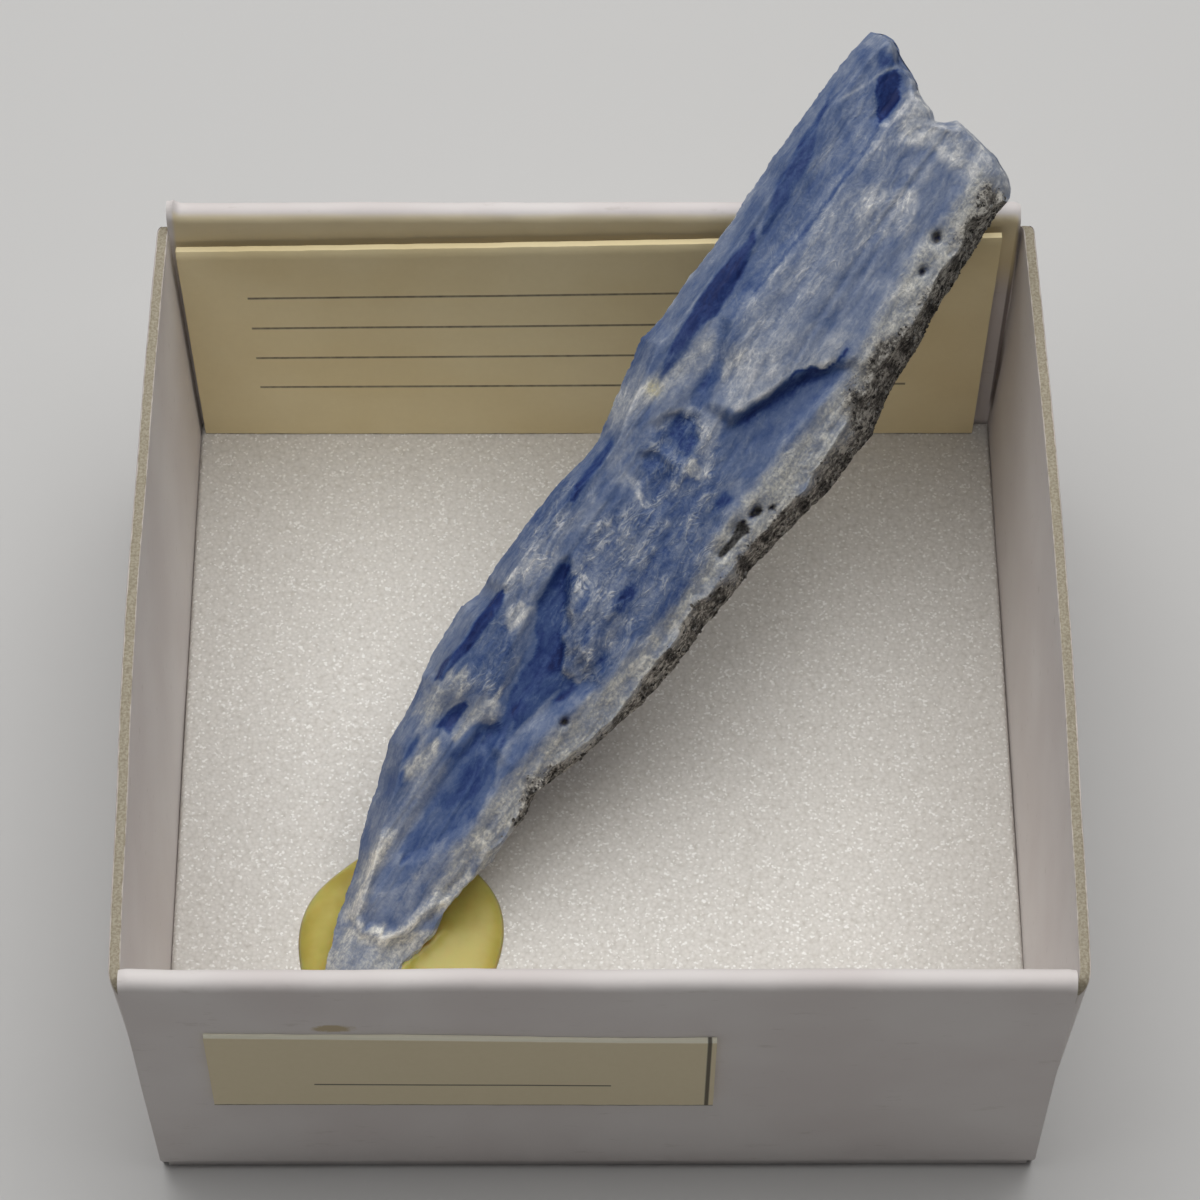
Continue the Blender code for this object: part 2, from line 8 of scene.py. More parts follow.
import bpy
import numpy as np
from mathutils import Matrix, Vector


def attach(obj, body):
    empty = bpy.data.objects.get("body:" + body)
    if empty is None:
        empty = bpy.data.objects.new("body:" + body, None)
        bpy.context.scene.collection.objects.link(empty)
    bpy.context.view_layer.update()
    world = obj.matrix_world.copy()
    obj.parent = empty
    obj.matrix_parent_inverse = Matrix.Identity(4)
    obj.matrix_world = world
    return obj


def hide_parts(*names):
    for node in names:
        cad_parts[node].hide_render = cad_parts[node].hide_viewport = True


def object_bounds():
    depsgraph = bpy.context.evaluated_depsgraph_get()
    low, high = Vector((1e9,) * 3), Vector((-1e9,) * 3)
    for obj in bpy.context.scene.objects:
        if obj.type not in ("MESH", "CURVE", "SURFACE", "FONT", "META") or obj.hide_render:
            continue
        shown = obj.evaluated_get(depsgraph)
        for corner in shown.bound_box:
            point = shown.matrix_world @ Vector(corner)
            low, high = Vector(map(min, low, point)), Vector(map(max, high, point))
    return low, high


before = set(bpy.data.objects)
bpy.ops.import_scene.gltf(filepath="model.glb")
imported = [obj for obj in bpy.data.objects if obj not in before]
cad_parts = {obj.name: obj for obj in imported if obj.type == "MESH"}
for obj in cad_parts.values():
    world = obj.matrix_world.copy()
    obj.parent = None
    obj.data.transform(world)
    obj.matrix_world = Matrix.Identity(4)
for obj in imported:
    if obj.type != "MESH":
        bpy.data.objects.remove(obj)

MM = 0.001
CAD_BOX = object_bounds()
CARD_SHARP = 38  # degrees past which an edge of card stays sharp

# Camera, at the photograph's viewing angle
CAMERA_PLACE = (-1.20, -109.49, 181.90)
CAMERA_PITCH, CAMERA_YAW, CAMERA_ROLL = 56.38, 0.68, 0.51  # degrees below level, to the right, clockwise
CAMERA_LENS, CAMERA_SENSOR = 131.3, 36.0

# Studio: a light is its place, its target, its side in millimetres and its watts
KEY_LIGHT = (-5.0, 68.0, 258.0), (0.0, 0.0, 5.0), 360.0, 0.93
FILL_LIGHT = (60.0, -200.0, 200.0), (0.0, 0.0, 10.0), 200.0, 0.015
ROOM_COLOUR, ROOM_STRENGTH = (0.9, 0.93, 1.0, 1.0), 0.035
FLOOR_REACH = 2.0  # metres

# Tray
HALF = 20.0
HEIGHT = 20.0
CARD = 0.5
DOUBLE_WALL = 1.1
FRONT_SPLAY, BACK_SPLAY, SIDE_SPLAY = 1.4, 1.1, 0.8
RIM_FLARE_LEFT, RIM_FLARE_RIGHT = 0.33, 0.13
SIDE_HEIGHT = 19.0
SIDE_BOW = 0.3
SIDE_INSET = 0.5
CORNER_RUN, CORNER_TURN, CORNER_FALL = 0.85, 0.4, 0.8
FOLD_RADIUS = 0.45
SKIN_GAP = 0.03  # how far an end wall's surface stays inside its solid
WALL_COLUMNS, RIM_POINTS, GAP_POINTS, LEVELS = 260, 15, 5, 26  # points of an end wall's grid
SIDE_COLUMNS, SIDE_CORNER_POINTS, SIDE_LEVELS, RAW_EDGE_POINTS = 220, 16, 24, 9  # and of a side wall's
NUB_HEIGHT = 0.28  # torn card at the left end of the back rim
BASE_MARGIN, BASE_SAG, BASE_POINTS = 0.3, 0.03, 61

# Foam pad, name card, number label and glue dab
FOAM_BASE, FOAM_TOP = 0.8, 4.7
FOAM_HALF_X, FOAM_FRONT_Y, FOAM_BACK_Y = 19.65, -19.1, 19.05
FOAM_CELL = 0.42
FOAM_EDGE_IN, FOAM_EDGE_DOWN = 0.15, 0.25  # the softened border of the foam's top
FOAM_COLUMNS, FOAM_ROWS = 300, 290
NAME_CARD_THICKNESS = 0.3
NAME_CARD_CORNERS = [(-19.4, 18.30, 4.72), (18.8, 18.30, 4.72), (19.2, 19.22, 19.1), (-19.95, 19.14, 18.1)]
NAME_CARD_SIZE = (38.0, 13.5)
NAME_CARD_RULES, RULES_FROM, RULES_TO = (10.2, 3.6, 5.8, 8.0), 3.0, 34.4  # ruled lines in place of its text
LABEL_THICKNESS = 0.2
LABEL_PRESS = 0.05  # how far the label's back sinks into the uneven wall
LABEL_LEFT_X, LABEL_RIGHT_X = -17.0, 5.05
LABEL_TOP_Z, LABEL_BOTTOM_Z = (15.4, 14.8), (8.2, 8.0)
LABEL_SIZE = (22.05, 7.0)
LABEL_RULE, LABEL_RULE_FROM, LABEL_RULE_TO = 2.2, 4.5, 17.55
# where the printed frame line runs, and where the painted highlight of the label's top edge begins
LABEL_FRAME_X, LABEL_TOP_EDGE = 21.75, 6.86
SHEET_ROWS, SHEET_COLUMNS = 50, 160
SMEAR_PLACE, SMEAR_REACH = (-11.4, 15.85), (0.9, 0.38)  # a trace of glue above the label: x, z
GAP_SHADE_FOOT, GAP_SHADE_LEAN = (19.75, 7.3), 0.023  # painted shade of a fold gap right of the name card, as a dark line: its foot (x, z), and lean
GAP_SHADE_HALF_WIDTH = 0.10
DAB_CENTRE = (-9.1, -10.9)
DAB_RADIUS_X, DAB_RADIUS_Y = 4.6, 5.7
DAB_HEIGHT, DAB_DRAWN_UP = 0.72, 0.35
DAB_AROUND, DAB_RINGS = 120, 40

# Cluster: the place of its frame and its attitude. In that frame +X is across the blades,
# +Y along them to the tip and +Z out of the broad face; the numbers below are (x, y) in it.
FOOT_PLACE = (-9.72, -11.15, 7.2)
HEADING, RISE, TURN = 36.96, 25.98, 19.14
SOLE_Z = 5.0
SOLE_GAP, TOP_GAP = 0.02, 0.01  # how far its surface stays above the sole and under the solid's top
CLUSTER_SHARP = 50
THICK_AT_RIM, THICKEST = 4.75, 5.6
LEFT_BEVEL, LEFT_DROP = 0.95, 1.5
TOP_BEVEL, TOP_DROP = 0.6, 1.6
FOOT_BEVEL, FOOT_DROP = 0.6, 0.35
LEFT_CHIPS, RIGHT_CHIPS, TOP_CHIPS = 0.10, 0.12, 0.09  # mean depth of the chips along an edge
CHIP_LENGTH, EDGE_POINT_STEP = 0.8, 0.115
WHOLE_ENDS = 12  # points over which the chips fade out at a long edge's ends
# How far the matrix side falls below the face, by its place along the blades
MATRIX_DROP = [(-3.0, 0.4), (1.5, 0.8), (5.0, 1.3), (12.0, 2.2), (20.0, 3.0), (44.0, 3.0)]
LEFT_EDGE = [
    (-0.8, -4.5), (-1.2, -3.5), (-1.45, -2.8), (-1.8, -1.8), (-2.1, -1.0), (-2.3, 0.0), (-2.6, 1.2),
    (-3.1, 2.5), (-3.4, 3.4), (-3.7, 4.4), (-3.85, 5.1), (-4.2, 6.1), (-4.55, 7.2), (-4.55, 8.5),
    (-4.7, 10.0), (-4.9, 10.9), (-5.03, 12.0), (-5.05, 14.2), (-4.72, 15.1), (-4.73, 16.7), (-4.6, 18.8),
    (-4.35, 21.3), (-4.0, 23.0), (-3.9, 24.2), (-4.2, 25.5), (-4.4, 27.0), (-4.78, 29.1), (-4.5, 30.3),
    (-4.4, 32.5), (-4.2, 35.0), (-4.18, 37.5), (-4.1, 38.6), (-4.18, 39.4), (-4.1, 40.6), (-4.0, 42.7),
    (-3.9, 44.0), (-3.76, 45.6), (-3.4, 46.9)]
RIGHT_EDGE = [
    (1.1, -4.4), (1.5, -3.4), (1.85, -2.4), (2.0, -1.3), (2.1, -0.2), (2.25, 0.9), (2.1, 2.0), (2.25, 3.4),
    (2.7, 5.0), (2.67, 6.3), (2.88, 7.4), (2.65, 8.8), (3.15, 10.0), (3.6, 11.2), (3.95, 12.5), (4.2, 13.6),
    (4.65, 14.8), (4.85, 16.3), (5.07, 18.0), (5.15, 19.7), (5.4, 21.2), (5.55, 23.0), (5.95, 25.2),
    (6.35, 26.9), (6.6, 27.8), (6.68, 29.5), (6.92, 31.2), (6.6, 32.9), (6.45, 34.2), (6.5, 35.8),
    (6.27, 37.6), (6.3, 39.5), (6.24, 41.3), (6.2, 43.1), (6.2, 43.9)]
TOP_EDGE = [
    (-3.4, 46.9), (-3.0, 47.2), (-2.3, 47.25), (-1.85, 47.0), (-1.45, 46.5), (-0.85, 46.45), (-0.25, 46.1),
    (0.15, 45.6), (0.95, 45.4), (1.35, 45.05), (1.8, 45.2), (2.15, 45.6), (2.75, 45.55), (3.6, 45.4),
    (4.7, 45.15), (5.6, 44.7), (6.0, 44.35), (6.2, 43.9)]
FOOT_EDGE = [(-0.8, -4.5), (0.2, -4.8), (1.1, -4.4)]
GROOVE = [
    (-0.4, 45.4), (-0.5, 43.0), (-0.8, 40.1), (-0.8, 37.1), (-1.2, 35.4), (-1.4, 33.2), (-1.6, 31.8),
    (-1.3, 30.2), (-1.0, 28.6)]
RAISED_PLATE = [
    (-0.4, 45.6), *GROOVE[1:7], (-0.8, 29.9), (-0.3, 28.3), (0.8, 28.2), (1.4, 29.4), (2.1, 31.1),
    (2.6, 31.9), (3.3, 32.9), (3.9, 33.3), (5.2, 33.9), (7.0, 34.5), (7.0, 46.0)]
TIP_FACET = [(-2.2, 46.6), (-1.2, 46.3), (-0.4, 45.5), (-0.6, 43.6), (-1.1, 43.3), (-1.9, 44.9)]
STEP_RECESS = [
    (4.1, 33.3), (2.6, 31.9), (2.1, 31.1), (1.4, 29.4), (0.8, 28.1), (0.8, 26.9), (1.5, 26.0), (2.7, 25.8),
    (3.3, 26.9), (3.6, 29.7), (4.1, 31.6), (4.3, 32.9)]
UPPER_HOLLOW = [
    (-2.0, 25.9), (-1.6, 26.8), (-0.5, 27.4), (0.1, 26.4), (0.3, 25.4), (-0.4, 25.1), (-1.3, 25.3)]
LOWER_HOLLOW = [
    (-1.8, 24.4), (-1.0, 24.9), (-0.2, 24.6), (0.4, 23.3), (0.3, 22.4), (-0.5, 22.8), (-1.3, 23.3)]
WRINKLED_PLATE = [
    (-1.9, 18.6), (-1.0, 17.0), (-0.3, 16.2), (-0.3, 15.5), (0.3, 14.8), (0.5, 14.2), (1.5, 14.2),
    (1.9, 14.9), (2.0, 17.0), (2.1, 18.6), (1.8, 19.7), (0.9, 20.8), (-0.7, 21.2), (-1.7, 20.8)]
DEEP_RECESS = [
    (-2.0, 18.4), (-2.1, 16.1), (-1.8, 14.5), (-1.5, 13.0), (-1.0, 11.8), (-0.2, 10.4), (0.7, 9.6),
    (0.9, 11.2), (1.7, 13.4), (2.1, 14.4), (1.6, 14.9), (0.4, 15.2), (-0.3, 16.4), (-1.0, 17.4)]
LOWER_LENS = [
    (-1.1, 9.6), (-0.4, 9.5), (0.5, 9.1), (0.8, 7.9), (0.8, 6.2), (0.4, 4.7), (-0.5, 3.3), (-1.0, 2.9),
    (-1.6, 3.6), (-1.6, 5.5), (-1.5, 8.1)]
NAVY_STEP = [(-3.6, 15.8), (-4.0, 13.4), (-4.2, 10.8), (-5.6, 10.8), (-5.6, 15.8)]
FOOT_LIP = [
    (-2.2, 3.2), (-1.9, 1.7), (-1.5, 0.6), (-1.4, -0.3), (-0.8, -0.7), (0.2, -0.6), (0.9, 0.1), (1.1, 1.2),
    (1.6, 2.3)]
# Round pits, a little longer than wide: (x, y, radius, depth)
PITS = [
    (-2.6, 9.7, 0.75, 0.5), (-0.7, 10.0, 0.5, 0.5), (4.3, 40.2, 0.28, 0.4), (4.6, 38.6, 0.2, 0.3),
    (1.9, 12.2, 0.22, 0.3), (4.1, 25.1, 0.26, 0.35), (3.75, 23.9, 0.35, 0.35), (3.65, 22.7, 0.4, 0.3),
    (4.65, 25.65, 0.15, 0.2), (5.75, 26.6, 0.4, 0.35)]
PIT_LENGTHENED = 1.2
SMALL_PITS = [pit for pit in PITS[2:] if pit[2] < 0.3]
MATRIX_INNER = [
    (6.0, 43.5), (5.3, 41.6), (5.2, 38.7), (5.4, 35.7), (5.4, 32.0), (5.4, 29.8), (5.2, 26.3), (4.6, 22.9),
    (4.2, 20.1), (3.9, 15.7), (3.5, 13.0), (2.6, 9.5), (2.3, 6.6), (1.9, 2.0), (1.5, -3.0)]
MATRIX_SIDE = MATRIX_INNER + [(12.0, -3.0), (12.0, 43.5)]

# How the blades are coloured: (edge width, tone, share, cream, outline). Tone is 0 for navy, 1 for white.
PATCHES = {
    "whole raised plate": (0.5, 0.64, 0.8, 0.0, [
        (-0.4, 45.6), (-0.5, 43.0), (-0.8, 40.1), (-0.8, 37.1), (-1.2, 35.4), (-1.4, 33.2), (-0.8, 29.9),
        (0.8, 28.2), (1.4, 29.4), (2.6, 31.9), (3.9, 33.3), (6.0, 34.0), (6.3, 43.6)]),
    "left strip of the long blade": (0.3, 0.62, 0.6, 0.0, [
        (-3.4, 47.1), (-3.8, 45.8), (-4.2, 39.3), (-4.2, 34.6), (-4.5, 30.3), (-4.0, 30.5), (-3.7, 32.5),
        (-3.8, 35.2), (-3.8, 39.8), (-3.5, 42.8), (-3.1, 45.2), (-2.8, 46.5)]),
    "pale tip": (0.3, 0.6, 0.7, 0.0, [
        (-3.7, 46.1), (-3.4, 47.1), (-2.4, 47.3), (-1.6, 46.7), (-2.1, 46.3), (-2.8, 46.3), (-3.1, 45.4)]),
    "knob beside the tip": (0.2, 0.6, 0.8, 0.1, [
        (-1.4, 46.5), (-0.8, 46.5), (-0.1, 46.1), (0.3, 45.5), (-0.3, 45.2), (-1.0, 45.7)]),
    "middle of the long blade": (0.4, 0.5, 0.6, 0.0, [
        (-2.6, 43.6), (-1.6, 44.5), (-0.8, 43.4), (-1.0, 39.7), (-1.1, 36.9), (-1.5, 35.0), (-1.9, 34.9),
        (-2.1, 37.3), (-2.2, 40.0), (-2.4, 42.0)]),
    "broken white top": (0.45, 0.83, 0.85, 0.2, [
        (-0.1, 43.3), (-0.6, 45.2), (0.5, 46.6), (1.4, 46.4), (3.5, 46.6), (4.8, 46.3), (6.8, 45.4),
        (7.4, 43.6), (5.9, 43.1), (5.6, 42.3), (4.0, 42.6), (3.0, 43.4), (1.7, 43.3), (0.4, 43.1)]),
    "blue under the broken top": (0.5, 0.58, 0.8, 0.0, [
        (0.0, 42.5), (0.8, 43.0), (2.6, 43.1), (4.1, 42.7), (4.5, 41.9), (3.4, 41.4), (1.9, 41.3),
        (0.7, 41.0), (-0.2, 41.3)]),
    "white patch": (0.5, 0.78, 0.9, 0.05, [
        (0.3, 38.9), (0.3, 40.1), (1.0, 41.0), (2.0, 41.1), (2.8, 41.6), (3.1, 40.7), (3.0, 39.5),
        (2.2, 38.7), (1.2, 38.3)]),
    "blue right of the patch": (0.3, 0.5, 0.7, 0.0, [
        (2.9, 41.4), (3.8, 41.7), (4.6, 41.1), (3.9, 40.1), (3.1, 40.4)]),
    "smooth blue of the plate": (0.6, 0.58, 0.8, 0.0, [
        (1.8, 37.7), (2.6, 38.4), (3.1, 37.1), (3.6, 35.8), (3.7, 34.5), (3.1, 33.3), (2.2, 32.6),
        (1.5, 32.5), (1.2, 33.7), (1.5, 35.5), (1.7, 36.7)]),
    "pale ground above the step": (0.5, 0.7, 0.8, 0.05, [
        (-0.9, 31.2), (0.2, 32.6), (1.8, 33.4), (3.4, 34.6), (4.2, 33.9), (2.6, 31.6), (1.2, 28.6),
        (-0.2, 28.5), (-1.0, 30.0)]),
    "streaks along the groove": (0.5, 0.66, 0.7, 0.05, [
        (-0.2, 39.4), (0.9, 38.1), (1.2, 36.7), (1.1, 34.7), (0.8, 32.6), (0.3, 31.8), (-0.7, 31.6),
        (-1.1, 33.9), (-0.8, 35.6), (-0.6, 37.2), (-0.5, 38.6)]),
    "white neck under the fleece": (0.4, 0.7, 0.8, 0.1, [
        (-0.5, 27.2), (0.1, 27.9), (1.0, 27.0), (1.8, 25.9), (1.4, 25.0), (0.3, 26.0)]),
    "pale right margin": (0.5, 0.76, 0.9, 0.55, [
        (4.4, 43.7), (4.1, 41.0), (3.9, 38.6), (4.1, 36.5), (4.2, 32.5), (4.1, 30.9), (3.8, 28.3),
        (3.4, 25.3), (4.4, 24.9), (6.2, 26.3), (6.5, 28.3), (6.3, 32.2), (6.2, 35.7), (6.0, 38.7),
        (6.0, 41.6), (6.4, 43.3)]),
    "grey margin below": (0.5, 0.72, 0.9, 0.65, [
        (3.7, 28.1), (3.4, 25.3), (3.2, 22.8), (3.2, 19.8), (3.0, 17.5), (2.6, 14.6), (1.7, 11.6),
        (1.2, 9.1), (1.0, 6.6), (0.7, 3.7), (1.2, 1.8), (3.0, 2.6), (3.3, 6.1), (3.6, 9.5), (4.4, 12.9),
        (5.0, 15.6), (5.2, 20.0), (5.6, 22.9), (6.2, 26.2)]),
    "smooth grey patch": (0.25, 0.72, 0.8, 0.25, [
        (3.9, 20.7), (4.3, 22.1), (5.0, 21.8), (4.6, 19.5), (4.3, 17.9), (3.7, 17.8)]),
    "fibrous middle": (0.5, 0.46, 0.65, 0.05, [
        (-1.7, 20.9), (-0.7, 22.7), (0.9, 25.3), (2.4, 24.6), (3.3, 22.8), (3.5, 20.4), (2.9, 18.4),
        (1.8, 18.8), (1.0, 20.5), (-0.5, 21.1)]),
    "pale ground left of the hollows": (0.4, 0.64, 0.85, 0.05, [
        (-4.8, 25.85), (-3.85, 27.6), (-2.45, 27.8), (-0.76, 28.06), (-0.78, 27.06), (-2.11, 25.39),
        (-2.26, 24.09), (-1.24, 23.11), (-1.49, 22.56), (-2.71, 22.6), (-3.21, 24.3), (-4.25, 24.4)]),
    "pale neck right of the hollows": (0.4, 0.64, 0.8, 0.05, [
        (-0.66, 27.9), (0.76, 28.49), (1.23, 27.16), (2.62, 25.59), (1.45, 25.28), (0.01, 25.83),
        (-0.68, 26.91)]),
    "pale ground of the flecks": (0.3, 0.64, 0.75, 0.05, [
        (-4.53, 16.26), (-3.78, 18.15), (-2.74, 18.06), (-2.27, 16.73), (-2.32, 14.68), (-3.07, 14.58)]),
    "pale ground of the pits": (0.3, 0.62, 0.8, 0.25, [
        (-4.55, 10.04), (-4.25, 11.43), (-2.01, 11.67), (-0.74, 11.29), (-1.27, 9.32), (-2.97, 9.43),
        (-3.27, 8.04)]),
    "wrinkled plate": (0.15, 0.5, 0.85, 0.1, WRINKLED_PLATE),
    "streaky white run": (0.4, 0.66, 0.7, 0.0, [
        (-3.9, 16.5), (-3.7, 18.0), (-3.3, 19.9), (-2.7, 21.6), (-1.9, 21.3), (-2.3, 19.2), (-2.6, 17.1),
        (-3.3, 16.1)]),
    "blue beside the navy streak": (0.4, 0.38, 0.75, 0.0, [
        (-3.4, 15.5), (-2.0, 14.2), (-1.1, 12.1), (-1.4, 11.4), (-2.5, 11.1), (-3.3, 10.6), (-3.6, 12.3),
        (-3.4, 14.1)]),
    "lower left side": (0.4, 0.54, 0.7, 0.15, [
        (-4.6, 9.8), (-4.5, 8.4), (-4.6, 7.1), (-4.2, 6.0), (-3.8, 4.9), (-3.4, 3.3), (-2.7, 3.4),
        (-2.9, 4.9), (-3.2, 6.3), (-3.8, 7.3), (-4.1, 8.5)]),
    "grey foot end": (0.2, 0.74, 0.9, 0.6, [
        (-2.2, -1.6), (-1.2, -0.9), (0.4, -0.7), (1.5, 0.7), (2.8, 1.6), (3.0, -0.3), (2.8, -3.0),
        (1.6, -5.2), (-1.0, -5.2)]),
    "blue in the foot end": (0.4, 0.54, 0.55, 0.25, [
        (-0.6, -1.1), (0.6, -1.1), (0.9, -2.4), (0.2, -3.6), (-0.6, -3.0)]),
    "left strip of the foot": (0.25, 0.5, 0.8, 0.3, [
        (-3.2, 2.6), (-2.4, 0.1), (-1.8, -2.0), (-1.0, -2.6), (-1.3, -1.3), (-1.8, 0.2), (-2.5, 2.2)]),
    # Painted shadow where the raised plate's edge overlaps the blade beside it
    "painted shadow wedge at the tip": (0.06, 0.06, 0.95, 0.0, [
        (-1.46, 45.81), (-1.01, 45.45), (-0.6, 44.89), (-0.6, 44.39), (-0.65, 43.69), (-0.73, 43.21),
        (-1.14, 43.6), (-1.48, 44.04), (-1.78, 44.51), (-2, 45.03), (-1.81, 45.42)]),
    "dark spot over the wedge": (0.35, 0.18, 0.8, 0.0, [
        (-2.56, 46.43), (-2.05, 46.31), (-1.68, 45.9), (-2.02, 45.4), (-2.43, 45.63), (-2.69, 46.12)]),
    "shade in the tip": (0.4, 0.34, 0.7, 0.0, [
        (-3.47, 45.62), (-3.28, 46.18), (-2.81, 46.04), (-2.48, 45.27), (-2.82, 44.94)]),
    "upper navy band": (0.12, 0.22, 0.9, 0.0, [
        (-3.35, 42.95), (-3.35, 42.18), (-3.33, 41.47), (-3.37, 41.01), (-3.39, 40.61), (-3.29, 39.69),
        (-3.21, 38.97), (-3.16, 38.29), (-3.02, 37.56), (-2.88, 36.99), (-2.78, 36.5), (-2.56, 35.99),
        (-2.38, 36.22), (-2.36, 36.78), (-2.39, 37.52), (-2.34, 38.21), (-2.38, 38.96), (-2.45, 39.57),
        (-2.51, 40.19), (-2.8, 40.72), (-3.02, 41.4), (-3.16, 42.14), (-3.26, 42.89)]),
    "blue beside the navy band": (0.4, 0.38, 0.7, 0.0, [
        (-2.31, 38.84), (-2.32, 38.01), (-2.34, 37.17), (-2.22, 36.32), (-2.04, 35.01), (-1.93, 35.52),
        (-1.58, 36.84), (-1.45, 38.02), (-1.6, 39.02), (-2.22, 39.72)]),
    "lower navy band": (0.12, 0.09, 0.92, 0.0, [
        (-2.99, 36.15), (-3, 35.48), (-3.09, 34.77), (-3.18, 34.05), (-3.32, 33.25), (-3.34, 32.42),
        (-3.4, 31.67), (-3.34, 30.89), (-3.3, 30.15), (-3.28, 29.44), (-3.17, 28.59), (-2.98, 27.61),
        (-2.82, 28.04), (-2.61, 28.73), (-2.54, 29.65), (-2.61, 30.26), (-2.62, 30.96), (-2.25, 31.58),
        (-2.27, 32.29), (-2.21, 32.87), (-2.35, 33.61), (-2.37, 34.25), (-2.46, 35.07), (-2.61, 35.63)]),
    # Painted shade in the lower end of the groove
    "shade at the lower end of the groove": (0.3, 0.28, 0.85, 0.0, [
        (-1.21, 31.49), (-1.15, 30.54), (-1.22, 29.62), (-1.18, 28.72), (-0.96, 27.77), (-0.68, 27.84),
        (-0.57, 28.62), (-0.61, 29.52), (-0.79, 30.23), (-0.97, 31.2)]),
    "blue of the step's recess": (0.1, 0.42, 0.95, 0.0, [
        (3.81, 33.19), (3.7, 32.68), (3.29, 32.3), (2.75, 31.96), (2.28, 31.49), (1.99, 30.92),
        (1.85, 30.28), (1.69, 29.69), (1.32, 29.07), (1.05, 28.46), (0.49, 28.32), (0.38, 27.97),
        (0.75, 27.39), (1.02, 26.47), (1.36, 25.6), (1.7, 24.72), (2.04, 25.38), (2.69, 25.91),
        (3.25, 26.38), (3.44, 26.94), (3.46, 27.6), (3.44, 28.3), (3.23, 28.98), (3.49, 29.59),
        (3.93, 30.09), (4, 30.85), (4.01, 31.68), (3.95, 32.29)]),
    # Painted shade under the step's overhanging edge
    "painted shade under the step": (0.6, 0.16, 0.75, 0.0, [
        (3.42, 32.61), (2.65, 32.11), (2.18, 31.65), (1.89, 31.08), (1.75, 30.44), (1.59, 29.84),
        (1.24, 29.18), (1, 28.54), (1.11, 27.95), (1.69, 28.32), (2.07, 29), (2.35, 29.84), (2.63, 30.68),
        (3.07, 31.45), (3.56, 32.04)]),
    "fleece over the step": (0.16, 0.75, 0.9, 0.1, [
        (3.6, 32.83), (3.21, 32.42), (2.7, 32.03), (2.23, 31.57), (1.94, 31), (1.8, 30.36), (1.64, 29.76),
        (1.27, 29.15), (1, 28.54), (0.57, 28.37), (0.21, 28.25), (0.19, 28.78), (-0.21, 29.07),
        (-0.53, 29.41), (-0.78, 29.8), (-0.95, 30.56), (-0.81, 30.87), (-0.29, 30.99), (0.19, 31.52),
        (0.75, 31.66), (1.31, 31.47), (1.8, 31.56), (2.32, 32.12), (2.81, 32.54), (3.35, 33.06)]),
    "upper chipped hollow": (0.12, 0.3, 0.85, 0.0, [
        (-0.88, 27.22), (-1.24, 27.1), (-1.35, 26.59), (-1.5, 26.06), (-1.18, 25.82), (-0.82, 25.94),
        (-0.52, 25.81), (-0.17, 25.6), (0.16, 25.26), (0.14, 25.63), (-0.08, 26.31), (-0.37, 26.94),
        (-0.67, 27.24)]),
    "small hollow beside it": (0.12, 0.28, 0.85, 0.0, [
        (-1.49, 25.95), (-1.7, 25.6), (-1.78, 25.22), (-1.44, 25.11), (-1.24, 25.57), (-1.23, 25.9)]),
    "lower chipped hollow": (0.2, 0.32, 0.85, 0.0, [
        (-1.35, 25.06), (-1.22, 25.36), (-0.84, 25.28), (-0.41, 25.12), (0.02, 24.96), (0.35, 24.62),
        (0.31, 24.16), (-0.02, 24.17), (-0.05, 23.71), (0.09, 23.15), (-0.09, 22.76), (-0.49, 23.21),
        (-0.87, 23.62), (-1.39, 23.94), (-1.54, 24.5)]),
    "white nub between the hollows": (0.12, 0.82, 0.9, 0.4, [
        (0.26, 25.44), (0.56, 25.57), (0.97, 25.35), (1.16, 24.98), (0.78, 24.79), (0.34, 24.89)]),
    "pale curl": (0.1, 0.76, 0.9, 0.1, [
        (-1.61, 23.25), (-1.17, 23.43), (-0.85, 23.09), (-0.37, 22.85), (-0.04, 22.68), (-0.33, 22.44),
        (-0.76, 22.6), (-1.24, 22.84), (-1.54, 22.97)]),
    "soft dark spot": (0.25, 0.16, 0.8, 0.0, [
        (2.23, 24.58), (2.44, 25.09), (2.85, 25.14), (2.91, 24.79), (2.56, 24.4)]),
    "blue streak on the left edge": (0.15, 0.17, 0.9, 0.0, [
        (-3.29, 24.35), (-3.36, 23.77), (-3.47, 22.93), (-3.54, 22.18), (-3.55, 21.35), (-3.51, 20.61),
        (-3.22, 21.02), (-3.19, 21.81), (-3.15, 22.59), (-3.06, 23.31), (-3.05, 23.97)]),
    "blue by the left edge": (0.3, 0.34, 0.75, 0.0, [
        (-3.9, 26.15), (-3.94, 25.36), (-3.89, 24.52), (-3.72, 24.85), (-3.63, 25.56), (-3.54, 26.27)]),
    "blue under the stain": (0.25, 0.38, 0.75, 0.0, [
        (-2.65, 26.41), (-2.71, 25.82), (-2.85, 25.19), (-2.41, 25.36), (-2.38, 25.82), (-2.47, 26.3)]),
    "first black crumb": (0.06, 0.0, 0.92, 0.95, [
        (3.9, 24.61), (3.75, 24.41), (3.72, 24.12), (3.77, 23.87), (3.8, 23.57), (3.76, 23.21),
        (3.67, 22.83), (3.68, 22.4), (3.92, 22.44), (4.03, 22.95), (4.09, 23.37), (4.25, 23.8),
        (4.36, 24.14), (4.08, 24.4)]),
    "second black crumb": (0.06, 0.0, 0.92, 0.95, [
        (4.19, 25.34), (4.01, 25.12), (3.88, 24.81), (4.11, 24.69), (4.27, 24.96), (4.34, 25.28)]),
    "deep blue recess": (0.12, 0.2, 0.92, 0.0, [
        (-2.28, 18.35), (-2.22, 17.58), (-2.11, 16.83), (-2.09, 16.02), (-1.76, 15.42), (-1.15, 14.72),
        (-0.88, 13.81), (-1.05, 13.05), (-0.91, 12.16), (-0.65, 11.24), (-0.39, 10.32), (0.03, 9.5),
        (0.18, 9.87), (0.2, 10.42), (0.38, 11.25), (0.52, 11.88), (0.6, 12.59), (0.78, 13.24),
